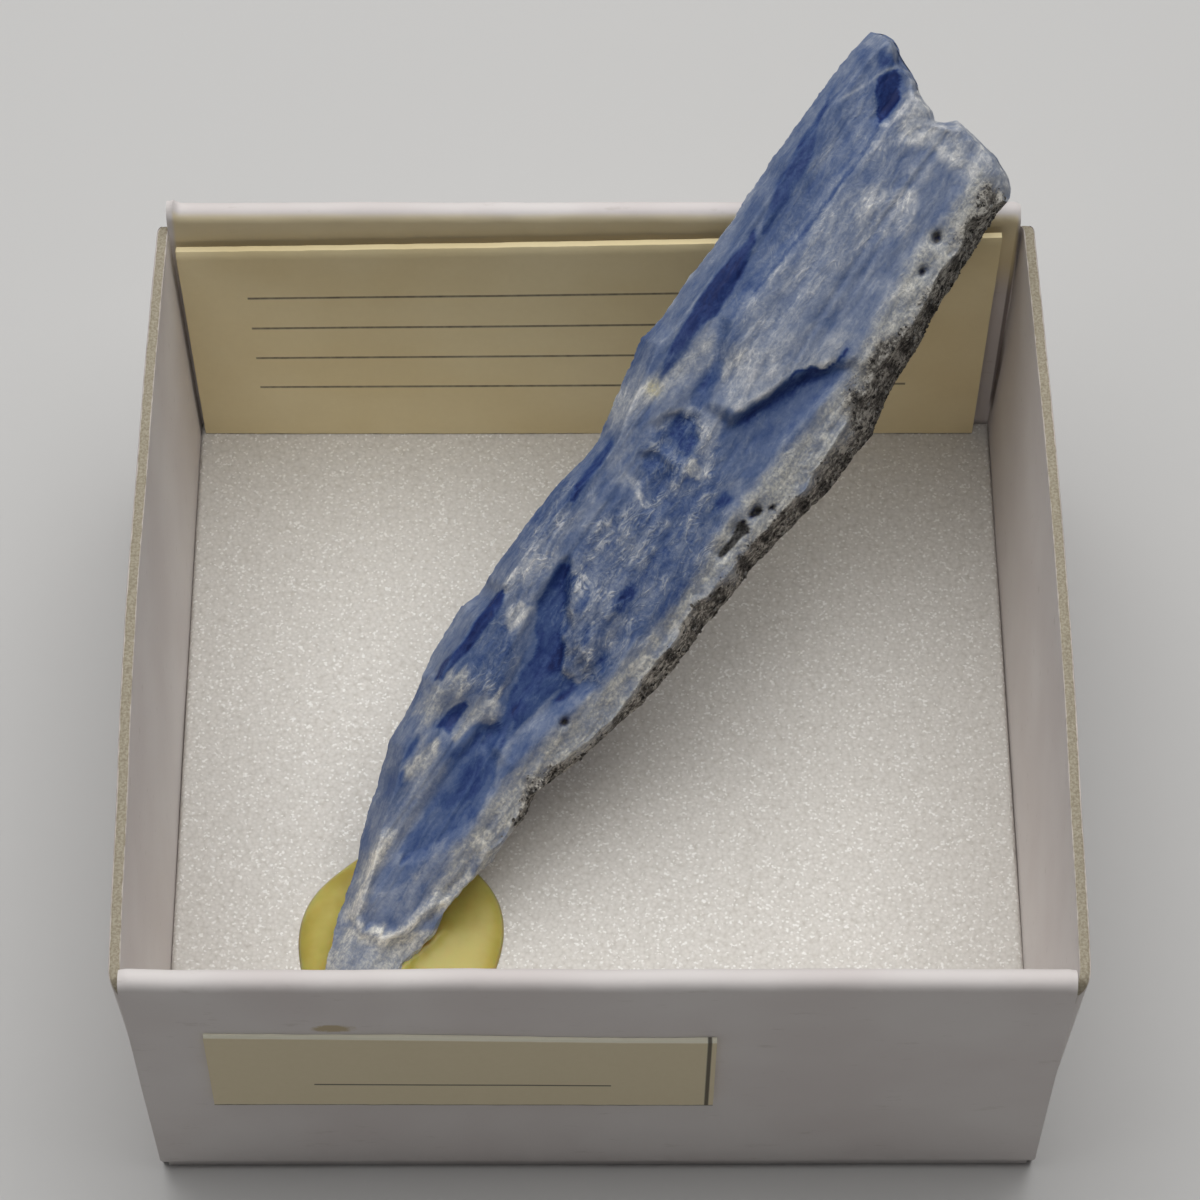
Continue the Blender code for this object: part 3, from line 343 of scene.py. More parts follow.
        (1.04, 13.68), (1.43, 14.09), (0.88, 14.28), (0.47, 14.24), (0.3, 14.84), (-0.1, 15.29),
        (-0.38, 15.65), (-0.44, 16.16), (-0.78, 16.7), (-0.95, 17.3), (-1.13, 18), (-1.65, 18.22),
        (-2.05, 18.17)]),
    "navy beside the wrinkled plate": (0.3, 0.04, 0.8, 0.0, [
        (-0.07, 15.42), (-0.25, 15.03), (-0.32, 14.44), (-0.19, 13.82), (0.3, 13.91), (0.55, 14.29),
        (0.38, 14.89)]),
    "navy under the wrinkled plate": (0.2, 0.06, 0.8, 0.0, [
        (1.28, 14), (1.01, 13.39), (0.95, 12.81), (1.36, 13.18), (1.55, 13.74), (1.63, 14.12)]),
    "blue right of the wrinkled plate": (0.25, 0.3, 0.8, 0.0, [
        (1.61, 15.68), (1.6, 14.85), (1.59, 14.19), (1.64, 13.52), (2.07, 13.52), (2.25, 14.18),
        (2.26, 15.01), (2.25, 15.71), (2.11, 16.27)]),
    "dark window right of the plate": (0.3, 0.14, 0.8, 0.0, [
        (0.88, 18.86), (0.79, 18.15), (1, 17.57), (1.42, 17.84), (1.54, 18.51), (1.47, 19.13),
        (1.07, 19.25)]),
    "left window of the plate": (0.2, 0.24, 0.75, 0.0, [
        (-0.48, 18.09), (-0.57, 17.38), (-0.45, 16.69), (-0.17, 16.93), (-0.09, 17.58)]),
    "lower window of the plate": (0.2, 0.28, 0.75, 0.0, [
        (0.33, 16.65), (0.27, 16.07), (0.44, 15.47), (0.87, 15.48), (0.98, 15.98), (0.71, 16.57)]),
    "left facet": (0.15, 0.56, 0.85, 0.0, [
        (-4.09, 15.23), (-4.58, 14.81), (-4.92, 14.16), (-4.98, 13.24), (-4.92, 12.3), (-4.91, 11.44),
        (-4.8, 10.42), (-4.44, 10.54), (-4.43, 11.53), (-4.34, 12.41), (-4.25, 13.28), (-4.13, 14.12),
        (-3.96, 14.88)]),
    "navy streak": (0.12, 0.08, 0.95, 0.0, [
        (-3.61, 15.76), (-3.93, 15.66), (-3.96, 15.21), (-3.94, 14.67), (-4, 14.09), (-4.01, 13.43),
        (-4.03, 12.77), (-4.11, 12.06), (-4.25, 11.43), (-4.21, 10.69), (-3.93, 10.76), (-3.77, 11.52),
        (-3.6, 12.28), (-3.49, 13.12), (-3.45, 13.9), (-3.39, 14.49), (-3.38, 15.15)]),
    "upper white flecks": (0.2, 0.72, 0.85, 0.1, [
        (-3.72, 17.54), (-3.83, 16.7), (-3.92, 15.99), (-3.57, 15.78), (-3.28, 16.19), (-3.17, 17.02),
        (-3.13, 17.81)]),
    "lower white flecks": (0.15, 0.78, 0.88, 0.25, [
        (-2.78, 15.74), (-3, 15.06), (-2.84, 14.4), (-2.36, 14.33), (-2.21, 14.86), (-2.17, 15.81)]),
    "first dark pit": (0.12, 0.12, 0.93, 0.0, [
        (-2.44, 10.64), (-2.72, 10.24), (-2.88, 9.81), (-2.92, 9.35), (-2.92, 9.02), (-2.47, 8.99),
        (-2.16, 9.02), (-2.23, 9.47), (-2.25, 10), (-2.21, 10.45)]),
    "second dark pit": (0.1, 0.0, 0.95, 0.0, [
        (-0.66, 10.58), (-0.92, 10.3), (-1.08, 9.88), (-0.86, 9.37), (-0.46, 9.24), (-0.22, 9.72),
        (-0.34, 10.24)]),
    "cream over the pits": (0.3, 0.74, 0.88, 0.5, [
        (-2.6, 11.4), (-3.07, 10.77), (-3.41, 10.12), (-3.37, 9.38), (-3.31, 8.78), (-3.81, 8.89),
        (-4.05, 9.6), (-3.94, 10.43), (-3.52, 11.14), (-2.95, 11.61)]),
    "cream between the pits": (0.2, 0.7, 0.85, 0.45, [
        (-1.7, 11), (-1.93, 10.53), (-1.99, 9.94), (-2, 9.28), (-2.04, 8.83), (-1.75, 8.8), (-1.69, 9.38),
        (-1.55, 10.01), (-1.44, 10.52)]),
    "cream beside the second pit": (0.25, 0.78, 0.85, 0.35, [
        (-1.81, 11.69), (-1.74, 11.08), (-1.26, 10.74), (-0.79, 10.77), (-0.91, 11.4), (-1.26, 11.77)]),
    "cream patch": (0.25, 0.8, 0.9, 0.55, [
        (-2.58, 8.48), (-3.02, 7.98), (-2.96, 7.48), (-2.98, 6.92), (-3.16, 6.26), (-2.79, 6.12),
        (-2.31, 6.54), (-2.23, 7.35), (-2.13, 8.12)]),
    "lower lens": (0.12, 0.34, 0.92, 0.0, [
        (-0.7, 10.55), (-0.14, 9.94), (0.18, 9.27), (0.45, 8.68), (0.66, 8.01), (0.8, 7.28), (0.86, 6.51),
        (0.52, 5.69), (0.23, 4.96), (-0.14, 4.19), (-0.51, 3.41), (-0.9, 2.83), (-1.22, 3.17),
        (-1.32, 3.65), (-1.3, 4.31), (-1.21, 5.18), (-1.28, 5.95), (-1.42, 6.68), (-1.63, 7.35),
        (-1.69, 8.13), (-1.63, 8.87), (-1.54, 9.58), (-1.38, 10.01)]),
    "deeper part of the lens": (0.5, 0.18, 0.5, 0.0, [
        (-0.12, 9.4), (-0.54, 8.87), (-0.86, 7.85), (-0.75, 6.83), (-0.61, 6.11), (-0.08, 6.45),
        (0.25, 7.47), (0.21, 8.54)]),
    "blue right of the ridge": (0.2, 0.42, 0.85, 0.0, [
        (0.58, 10.67), (0.65, 9.9), (0.71, 9.12), (0.87, 8.52), (1.14, 8.96), (1.2, 9.71), (1.19, 10.57),
        (1, 11.21)]),
    "dark line down the lower left": (0.12, 0.2, 0.85, 0.0, [
        (-2.37, 5.96), (-2.4, 5.5), (-2.46, 4.92), (-2.55, 4.22), (-2.52, 3.58), (-2.33, 3.87),
        (-2.24, 4.58), (-2.16, 5.39)]),
    "second dark line": (0.14, 0.22, 0.8, 0.0, [
        (-3.39, 8.23), (-3.45, 7.65), (-3.46, 6.99), (-3.45, 6.46), (-3.26, 7.01), (-3.18, 7.82)]),
    "blue of the lower left": (0.35, 0.34, 0.7, 0.0, [
        (-3.32, 6.27), (-3.41, 5.56), (-3.25, 4.8), (-2.89, 4.92), (-2.68, 5.6), (-2.74, 6.21)]),
    "grey patch over the foot": (0.25, 0.62, 0.75, 0.25, [
        (0.37, 4.57), (0.03, 4.08), (-0.21, 3.28), (-0.15, 2.77), (0.33, 2.43), (0.6, 2.87), (0.71, 3.54),
        (0.76, 4.22)]),
    "blue inside the foot's lip": (0.25, 0.6, 0.8, 0.12, [
        (0.47, 2.73), (-0.12, 2.3), (-0.46, 1.82), (-0.6, 1.19), (-0.37, 0.58), (0.07, 0.31), (0.56, 0.74),
        (0.58, 1.46), (0.69, 2.22)]),
    "blue above the lip": (0.3, 0.56, 0.45, 0.1, [
        (0.87, 3.97), (0.88, 3.27), (0.79, 2.4), (0.85, 1.63), (1.16, 1.99), (1.23, 2.9), (1.22, 3.76)]),
}

# Narrow markings along a line: (half width, tone, share, cream, line)
STREAKS = {
    "pale belt": (0.85, 0.8, 0.8, 0.3, [(-4.1, 25.5), (-3.3, 26.8), (-2.5, 27.9), (-1.9, 30.1)]),
    "light ridge left of the lens": (0.75, 0.64, 0.8, 0.2, [
        (-1.9, 7.1), (-2.1, 5.4), (-2.2, 4.0), (-1.9, 2.8)]),
    "pearly lip of the foot": (0.46, 0.9, 0.9, 0.6, [
        (-2.1, 3.2), (-2.0, 2.5), (-2.0, 1.7), (-1.5, 0.6), (-1.4, -0.4), (-0.8, -0.7), (0.2, -0.6),
        (0.9, 0.1), (1.1, 1.2), (1.6, 2.3)]),
    "dark line right of the foot": (0.22, 0.38, 0.5, 0.6, [(1.7, 5.2), (1.7, 3.9), (1.4, 2.4), (1.6, 1.4)]),
    "white threads of the left edge": (0.2, 0.74, 0.6, 0.0, [
        (-4.6, 29.8), (-4.3, 32.6), (-4.2, 34.7), (-4.0, 37.1)]),
    "shade in the groove": (0.1, 0.24, 0.8, 0.0, [
        (-0.72, 43.11), (-0.67, 42.26), (-0.68, 41.26), (-0.78, 40.38), (-0.79, 39.54), (-0.88, 38.83),
        (-0.89, 38.16), (-0.91, 37.16), (-1.08, 36.4), (-1.17, 35.35), (-1.29, 34.51), (-1.43, 33.54)]),
    "shadow line under the step": (0.08, 0.02, 0.85, 0.0, [
        (3.68, 33.49), (3.58, 32.87), (3.24, 32.38), (2.72, 31.99), (2.25, 31.53), (2.02, 31.05)]),
    "light ridge by the lens": (0.14, 0.6, 0.75, 0.0, [
        (-0.05, 10.97), (0.12, 10.21), (0.35, 9.43), (0.6, 8.78), (0.79, 8.15)]),
    "white thread across the tip": (0.12, 0.72, 0.8, 0.0, [
        (-1.55, 45.87), (-1.97, 45.16), (-2.21, 44.67), (-2.5, 43.93), (-2.9, 43.02)]),
    "light border of the recess": (0.1, 0.66, 0.7, 0.0, [
        (3.28, 28.91), (3.44, 28.3), (3.46, 27.6), (3.44, 26.94), (3.3, 26.3)]),
    "pale edge of the wrinkled plate": (0.14, 0.66, 0.85, 0.0, [
        (-0.79, 16.8), (-0.56, 16.19), (-0.37, 15.55), (0.03, 15.26), (0.33, 14.8), (0.47, 14.24),
        (1, 14.25), (1.47, 14.28), (1.65, 14.78)]),
    "spine of the wrinkled plate": (0.12, 0.68, 0.7, 0.05, [
        (-0.81, 19.29), (-0.47, 18.42), (0.02, 17.65), (0.31, 16.86), (0.93, 16.06), (1.27, 15.19)]),
    "pale line from the flecks": (0.1, 0.62, 0.7, 0.0, [
        (-2.15, 14.08), (-1.62, 13.6), (-1.19, 13.18), (-0.93, 12.69)]),
}
# Where the dark matrix begins, and its darkest and palest blots: (x, y, radius, tone)
MATRIX_TINT = [
    (5.17, 43.39), (5.35, 41.91), (5.22, 40.83), (5.42, 39.32), (5.07, 37.89), (5.19, 36.76), (5.19, 35.56),
    (4.76, 34.62), (4.94, 33.64), (5.28, 32.77), (5.07, 32.08), (5.4, 31.47), (6.01, 30.77), (5.99, 29.94),
    (5.55, 29.27), (5.64, 28.62), (5.58, 27.77), (5.61, 27.13), (5.34, 26.52), (5.1, 25.71), (4.96, 24.91),
    (4.82, 24.11), (4.78, 23.32), (4.83, 22.38), (4.66, 21.28), (4.36, 19.89), (4.33, 18.24), (4.25, 16.66),
    (4.22, 15.01), (3.94, 13.91), (3.82, 12.91), (3.68, 12.11), (3.36, 10.82), (2.69, 9.58), (2.4, 8.85),
    (2.46, 8.08), (2.65, 7.28), (2.63, 6.29)]
BLOTS = [
    (5.88, 34.14, 0.26, 0), (5.19, 32.05, 0.17, 0.05), (6.88, 30.78, 0.34, 0.05), (6.44, 29.41, 0.34, 0.05),
    (6.18, 27.77, 0.3, 0), (5.83, 26.61, 0.34, 0), (5.23, 25.68, 0.17, 0.1), (4.55, 25.63, 0.1, 0),
    (5.08, 24.38, 0.26, 0.1), (4.97, 22.84, 0.38, 0), (6.29, 31.28, 0.26, 0.85), (5.97, 29.82, 0.17, 0.95),
    (5.93, 28.76, 0.17, 0.7), (4.93, 32.81, 0.21, 0.7), (6.19, 32.8, 0.26, 0.25), (5.79, 35.56, 0.34, 0.1),
    (5.89, 37.54, 0.34, 0.15), (5.8, 39.84, 0.3, 0.1), (5.83, 36.79, 0.21, 0.7), (4.76, 20.96, 0.34, 0.1),
    (4.73, 19.31, 0.3, 0.2), (4.39, 17.46, 0.3, 0.1), (4.4, 15.57, 0.26, 0.1), (4.04, 13.59, 0.26, 0.05),
    (3.76, 12.33, 0.21, 0.1)]
YELLOW_SPOT = (-2.9, 27.3, 0.35)  # a stain on the pale belt: x, y, radius
# Where a cobweb of pale threads lies on the blades: (share, outline)
WEBBED = [
    (1.0, [
        (-1.9, 20.9), (-0.7, 22.7), (-2.0, 25.0), (-1.0, 27.5), (0.9, 27.0), (3.3, 23.6), (3.6, 20.4),
        (3.0, 17.4), (2.2, 14.4), (0.5, 13.8), (-0.6, 15.3), (-2.0, 18.6)]),
    (0.3, [
        (-2.4, 44.0), (-0.9, 45.0), (2.0, 42.0), (3.0, 39.0), (1.2, 36.0), (0.8, 31.8), (-1.4, 29.0),
        (-2.2, 33.0), (-2.2, 40.0)]),
    (0.9, [(-3.9, 16.0), (-4.5, 18.6), (-4.2, 22.0), (-3.0, 21.6), (-2.4, 18.0), (-2.6, 15.0)]),
    (0.9, [(-3.4, 10.6), (-1.2, 11.6), (-1.7, 13.8), (-3.2, 15.0)])]

FACE_ROWS, FACE_COLUMNS, BACK_STEP = 440, 151, 3
FINEST_EDGE = 0.09
PALE = 0.4  # patches and streaks paler than this have torn borders
SHARPEST_TORN = 0.2
CRUMBS, PALE_CRUMBS, CRUMB_SEED = 1500, 0.2, 5
CRUMB_RADIUS, CRUMB_SPREAD, CRUMB_FOOTROOM = 0.03, 0.09, 1.8
CRUMB_LOOKS = {  # of a pale crumb and of a dark one
    "tone": (0.6, 0.2), "cream": (0.9, 0.3), "web": (0, 0), "yellow": (0, 0), "matrix": (0.3, 1.0)}
# Sheets of threads on the blades: (width, slope, shift) of the noise whose contour lines they follow
THREAD_SHEETS = ((1.1, 0.12, 3.0), (0.8, 0.40, 11.0), (0.9, -0.25, 23.0), (0.5, 0.20, 37.0))


def smooth_ramp(values, low, high):
    """0 below low, 1 above high and a smooth S between them."""
    f = np.clip((values - low) / (high - low), 0.0, 1.0)
    return f * f * (3 - 2 * f)


def distance_to_line(x, y, line):
    """Shortest distance from each point to a line through the given corners."""
    nearest = np.full(np.shape(x), np.inf)
    for (ax, ay), (bx, by) in zip(line[:-1], line[1:]):
        dx, dy = bx - ax, by - ay
        f = np.clip(((x - ax) * dx + (y - ay) * dy) / (dx * dx + dy * dy), 0.0, 1.0)
        nearest = np.minimum(nearest, np.hypot(x - ax - f * dx, y - ay - f * dy))
    return nearest


def depth_inside(x, y, outline):
    """Distance to a closed outline, positive inside it and negative outside."""
    inside = np.zeros(np.shape(x), bool)
    for (ax, ay), (bx, by) in zip(outline, outline[1:] + outline[:1]):
        if ay != by:
            inside ^= ((ay > y) != (by > y)) & (x < ax + (y - ay) * (bx - ax) / (by - ay))
    return np.where(inside, 1.0, -1.0) * distance_to_line(x, y, outline + outline[:1])


def within(x, y, outline, edge):
    """1 inside an outline and 0 outside, over an edge of the given width."""
    edge = max(edge, FINEST_EDGE)
    return smooth_ramp(depth_inside(x, y, outline), -edge / 2, edge / 2)


def hashed(i, j, shift=0.0, factors=(127.1, 311.7), gain=43758.5453):
    """A number from 0 to 1 for each square (i, j) of a unit grid, as good as random."""
    mixed = np.sin(i * factors[0] + j * factors[1] + shift) * gain
    return mixed - np.floor(mixed)


def value_noise(x, y, seed):
    """Smooth noise from -1 to 1: hashed corner values of a unit grid, blended between corners."""
    def corner(i, j):
        return 2 * hashed(i, j, seed * 74.7) - 1
    i, j = np.floor(x), np.floor(y)
    u, v = x - i, y - j
    u, v = u * u * (3 - 2 * u), v * v * (3 - 2 * v)
    low = corner(i, j) * (1 - u) + corner(i + 1, j) * u
    high = corner(i, j + 1) * (1 - u) + corner(i + 1, j + 1) * u
    return low * (1 - v) + high * v


def rough_noise(x, y, seed, layers=3, keep=0.5):
    """Value noise in layers, each half as wide as the one before and keeping this share of its height."""
    total = np.zeros(np.shape(x))
    for k in range(layers):
        total = total + value_noise(x * 2 ** k, y * 2 ** k, seed + 31 * k) * keep ** k
    return total / sum(keep ** k for k in range(layers))


def lath_ledges(x, y, width, length, seed):
    """Long low ledges along the blades: stretched noise cut to a few flat levels."""
    drift = 0.35 * value_noise(x / 2.2, y / 9.0, seed + 3)
    level = 1.5 * value_noise((x + drift) / width, y / length, seed)
    step = np.floor(level)
    return step + smooth_ramp(level - step, 0.75, 1.0)


def bump_along(x, y, line, half_width):
    """1 on a line and falling off on both sides of it as a bell."""
    return np.exp(-(distance_to_line(x, y, line) / half_width) ** 2)


def face_height(x, y):
    """How far the broad face stands out at (x, y): a level plane with plates, steps and hollows."""
    height = 0.05 * lath_ledges(x, y, 1.25, 13.0, 1) + 0.07 * value_noise(x / 0.9, y / 3.0, 2)
    # The margin sinks to the matrix, and the tip's left side leans back
    height -= 0.30 * smooth_ramp(depth_inside(x, y, MATRIX_SIDE), -1.6, 0.0)
    height -= 0.25 * smooth_ramp(y, 38.0, 47.0) * smooth_ramp(-x, -1.0, 3.0)
    # The raised plate, eased at its lower left corner, with the groove beside it and the step below it
    jag_x, jag_y = frayed_place(x, y, 0.15)
    plate = smooth_ramp(depth_inside(jag_x, jag_y, RAISED_PLATE), -0.55, 0.15)
    eased = 1 - 0.6 * (1 - smooth_ramp(x, -0.6, 0.9)) * (1 - smooth_ramp(y, 29.5, 31.5))
    height += plate * eased * (0.25 + 0.20 * smooth_ramp(-y, -37.0, -32.0) - 0.05 * (x - 1.0))
    height -= 0.08 * bump_along(jag_x, y, GROOVE, 0.18)
    height -= 0.45 * within(x, y, TIP_FACET, 0.7) * smooth_ramp(x, -2.2, -0.5)
    height -= 0.22 * smooth_ramp(depth_inside(x, y, STEP_RECESS), -0.1, 0.5) * smooth_ramp(y, 25.5, 30.5)
    # Chipped hollows, the plate that lifts over the deep recess, the lens and the step on the left
    for hollow in (UPPER_HOLLOW, LOWER_HOLLOW):
        height -= within(jag_x, jag_y, hollow, 0.5) * (0.20 + 0.08 * value_noise(x / 0.5, y / 0.5, 4))
    lifted = (1 - smooth_ramp(y, 16.5, 20.0)) * (1 - smooth_ramp(x, 0.8, 2.0))
    wrinkles = 0.32 + 0.06 * value_noise(x / 0.5, y / 0.8, 5)
    height += within(jag_x, jag_y, WRINKLED_PLATE, 0.3) * lifted * wrinkles
    for outline, depth, edge in ((DEEP_RECESS, 0.35, 0.9), (LOWER_LENS, 0.25, 0.6), (NAVY_STEP, 0.35, 0.6)):
        height -= depth * within(jag_x, jag_y, outline, edge)
    height += 0.30 * bump_along(jag_x, jag_y, FOOT_LIP, 0.3)
    for px, py, radius, depth in PITS:
        height -= depth * np.exp(-((x - px) ** 2 + ((y - py) / PIT_LENGTHENED) ** 2) / radius ** 2)
    # Below the lip the foot thickens after a shallow dip
    return height + 0.9 * smooth_ramp(-y, 0.4, 3.0) - 0.2 * smooth_ramp(-y, -0.6, 0.6)


def frayed_place(x, y, amount):
    """Moves places to and fro, most along the grain, so that a border there looks torn and frayed."""
    side = 0.5 * amount * rough_noise(x / 0.9, y / 1.2, 41, 5, 0.7)
    fibres = 0.6 * amount * value_noise(x / 0.22, y / 3.0, 42)
    return x + side, y + fibres + amount * rough_noise(x / 0.8, y / 1.4, 43, 5, 0.7)


def fine_relief(x, y):
    """Thin laths, fibres and grain that lie on the broad forms.

    The grain is coarser by the matrix, on the broken top and where the cobweb of threads lies.
    """
    height = 0.02 * lath_ledges(x, y, 0.42, 7.0, 11) + 0.014 * value_noise(x / 0.2, y / 2.4, 12)
    height += 0.010 * value_noise(x / 0.11, y / 1.5, 13) + 0.05 * rough_noise(x / 0.7, y / 1.1, 14, 5, 0.6)
    near_matrix = smooth_ramp(depth_inside(x, y, MATRIX_SIDE), -1.4, -0.2)
    height += near_matrix * 0.09 * rough_noise(x / 0.5, y / 0.55, 15, 4, 0.65)
    broken_top = within(x, y, PATCHES["broken white top"][-1], 0.6)
    height += broken_top * 0.10 * rough_noise(x / 0.7, y / 0.7, 16, 5, 0.6)
    return height + webbed(x, y) * 0.05 * rough_noise((x + 0.4 * y) / 0.4, y / 1.2, 17, 3, 0.7)


def webbed(x, y):
    """How much of a cobweb of threads lies on the blades, from 0 to 1, over soft borders."""
    return np.max([share * within(x, y, outline, 1.0) for share, outline in WEBBED], axis=0)


def back_depth(x, y):
    """How far below the plane the hidden side lies: lath-shaped lumps, thinner to tip and foot."""
    middle = smooth_ramp(y, 6.0, 14.0) * (1 - smooth_ramp(y, 27.0, 35.0))
    thick = THICK_AT_RIM + (THICKEST - THICK_AT_RIM) * middle
    thick -= 0.35 * lath_ledges(x + 3.0, y, 1.9, 13.0, 6) ** 2
    thick -= 0.12 * value_noise(x / 1.3, y / 1.3, 7) + 0.12
    thick -= 0.05 * (1 + lath_ledges(x, y, 0.7, 8.0, 18)) + 0.04 * value_noise(x / 0.3, y / 2.5, 19)
    return -thick


def paint(x, y):
    """How pale and how creamy the blades are at (x, y), each from 0 to 1.

    Named patches and streaks are laid one over another on a cloudy ground. The broad pale ones have
    torn borders and shares that come and go; dark and narrow ones have cleaner borders.
    """
    ground = 0.47 + 0.08 * value_noise(x / 0.9, y / 5.0, 51)
    ground += 0.12 * rough_noise(x / 1.3, y / 2.2, 52, 5, 0.65)
    paints = np.stack([ground, 0 * ground])
    torn, clean = frayed_place(x, y, 0.7), frayed_place(x, y, 0.22)
    fading = 1 - 0.40 * smooth_ramp(rough_noise(x / 0.6, y / 0.9, 55, 4, 0.7), 0.0, 0.5)

    def lay(tone, cream, mask, tone_share=1.0):
        paints[0] += (tone - paints[0]) * tone_share * mask
        paints[1] += (cream - paints[1]) * mask

    for edge, tone, share, cream, outline in PATCHES.values():
        if tone > PALE and edge > SHARPEST_TORN:
            lay(tone, cream, share * within(*torn, outline, 0.2 + 1.2 * edge) * fading)
        else:
            lay(tone, cream, share * within(*clean, outline, 1.2 * edge))
    for half_width, tone, share, cream, line in STREAKS.values():
        thin = half_width < SHARPEST_TORN
        near = distance_to_line(*(clean if thin or tone < PALE else torn), line) / (0.75 * half_width)
        soft = np.exp(-near ** 4) if tone < PALE else np.exp(-near ** 2) * (1 if thin else fading)
        lay(tone, cream, share * soft)
    for px, py, radius, _ in SMALL_PITS:
        away = ((clean[0] - px) ** 2 + ((clean[1] - py) / PIT_LENGTHENED) ** 2) / (0.85 * radius) ** 2
        lay(0.10, 0.9, 0.9 * np.exp(-away ** 2))
    grain = rough_noise(x / 0.45, y / 0.5, 56, 4, 0.7)
    for px, py, radius, tone in BLOTS:
        lay(tone, 0.95, smooth_ramp(1.3 - np.hypot(x - px, y - py) / radius + 0.9 * grain, 0.0, 0.6), 0.9)
    return paints


def resample(line, count):
    """Points at even steps of length along a line of straight runs."""
    line = np.array(line, float)
    run = np.concatenate([[0.0], np.cumsum(np.hypot(*np.diff(line, axis=0).T))])
    at = np.linspace(0.0, run[-1], count)
    return np.stack([np.interp(at, run, line[:, k]) for k in (0, 1)], axis=-1)


def coons_patch(left, right, foot, top):
    """The grid between four edges: the two blends of opposite edges, less that of the corners."""
    rows, columns = len(left), len(foot)
    u = np.linspace(0.0, 1.0, rows)[:, None, None]
    w = np.linspace(0.0, 1.0, columns)[None, :, None]
    across = left[:, None] * (1 - w) + right[:, None] * w
    lengthwise = foot[None] * (1 - u) + top[None] * u
    corners = (foot[0] * (1 - w) + foot[-1] * w) * (1 - u) + (top[0] * (1 - w) + top[-1] * w) * u
    return across + lengthwise - corners


def crowded(count):
    """Places from 0 to 1, closer together at both ends, where the sides fall away."""
    w = np.linspace(0.0, 1.0, count)
    return w - 0.10 * np.sin(2 * np.pi * w)


def from_ends(count):
    """How many places each place in a row of them lies from its nearer end."""
    return np.minimum(np.arange(count), np.arange(count)[::-1])


def chipped_edge(points, seed, amount):
    """Wears an edge line of the outline inwards by small chips, to the inside of its curve."""
    ahead = np.gradient(points, axis=0)
    ahead /= np.linalg.norm(ahead, axis=1, keepdims=True)
    run = np.arange(len(points)) * EDGE_POINT_STEP
    chip = amount * (1 + rough_noise(run / CHIP_LENGTH, 0.0, seed, 5, 0.85))
    chip = chip * smooth_ramp(from_ends(len(points)), 0, WHOLE_ENDS)
    return points + np.stack([ahead[:, 1], -ahead[:, 0]], axis=-1) * chip[:, None]


def outline_grid():
    """Points (x, y) that fill the cluster's chipped outline: the patch between its four edge lines.

    Its columns are then moved closer together at both sides.
    """
    left = chipped_edge(resample(LEFT_EDGE, FACE_ROWS), 61, LEFT_CHIPS)
    right = chipped_edge(resample(RIGHT_EDGE, FACE_ROWS)[::-1], 62, RIGHT_CHIPS)[::-1]
    foot, top = resample(FOOT_EDGE, FACE_COLUMNS), resample(TOP_EDGE, FACE_COLUMNS)
    chips = 1 + rough_noise(top[:, 0] / 0.45, 0.0, 65, 3, 0.6)
    top[:, 1] -= TOP_CHIPS * smooth_ramp(from_ends(FACE_COLUMNS), 0, WHOLE_ENDS / 2) * chips
    even = coons_patch(left, right, foot, top)
    even_w, w = np.linspace(0.0, 1.0, FACE_COLUMNS), crowded(FACE_COLUMNS)
    flat = np.stack([[np.interp(w, even_w, row[:, k]) for row in even] for k in (0, 1)], axis=-1)
    flat[-1], flat[0] = top, foot
    return flat[..., 0], flat[..., 1]


def cluster_surface():
    """Front and back sheets of the cluster, in millimetres in its own frame, with the front's colouring.

    Both lie over one patch of the (x, y) outline. The front sheet follows the broad face and falls
    away at its edges: a short bevel on the left, a steep rough matrix side on the right. The back
    sheet has fewer columns, follows the hidden side, and comes up to meet the front at the outline.
    """
    x, y = outline_grid()
    from_left, from_right, from_top, from_foot = (
        distance_to_line(x, y, edge) for edge in (LEFT_EDGE, RIGHT_EDGE, TOP_EDGE, FOOT_EDGE))
    ragged = 0.35 * rough_noise(x / 0.9, y / 1.3, 63, 5)
    past_matrix_line = np.maximum(depth_inside(x, y, MATRIX_SIDE) + ragged, 0.0)
    down_matrix = past_matrix_line / (past_matrix_line + from_right + 1e-6)
    left_drop = LEFT_DROP * (0.5 + 0.5 * smooth_ramp(y, -3.0, 2.0))
    # The face falls away by the deepest of the left bevel, matrix side, broken top and foot
    fall = np.max([left_drop * (1 - np.clip(from_left / LEFT_BEVEL, 0.0, 1.0)),
                   down_matrix * np.interp(y, *zip(*MATRIX_DROP)),
                   TOP_DROP * (1 - smooth_ramp(from_top, 0.0, TOP_BEVEL)),
                   FOOT_DROP * (1 - smooth_ramp(from_foot, 0.0, FOOT_BEVEL))], axis=0)
    lumps = 0.22 * value_noise(x / 0.8, y / 0.8, 8) + 0.12 * value_noise(x / 0.4, y / 0.4, 9)
    lumps += 0.16 * rough_noise(x / 0.30, y / 0.34, 64, 4, 0.6)
    rough = smooth_ramp(down_matrix, 0.0, 0.3) * smooth_ramp(from_right, 0.0, 0.2)
    inward = np.min([from_left, from_right, from_top, from_foot], axis=0)
    front = face_height(x, y) - fall + rough * lumps + fine_relief(x, y) * smooth_ramp(inward, 0.0, 0.3)

    # The back swells away from the front over the first millimetres in from the outline
    coarse = (slice(None), slice(None, None, BACK_STEP))
    swell = smooth_ramp(inward[coarse], 0.0, 1.5)
    back = front[coarse] * (1 - swell) + back_depth(x[coarse], y[coarse]) * swell
    back = np.minimum(back, front[coarse] - 0.35 * smooth_ramp(inward[coarse], 0.0, 0.3))
    return (np.stack([x, y, front], axis=-1), np.stack([x[coarse], y[coarse], back], axis=-1),
            front_marks(x, y, front, ragged))


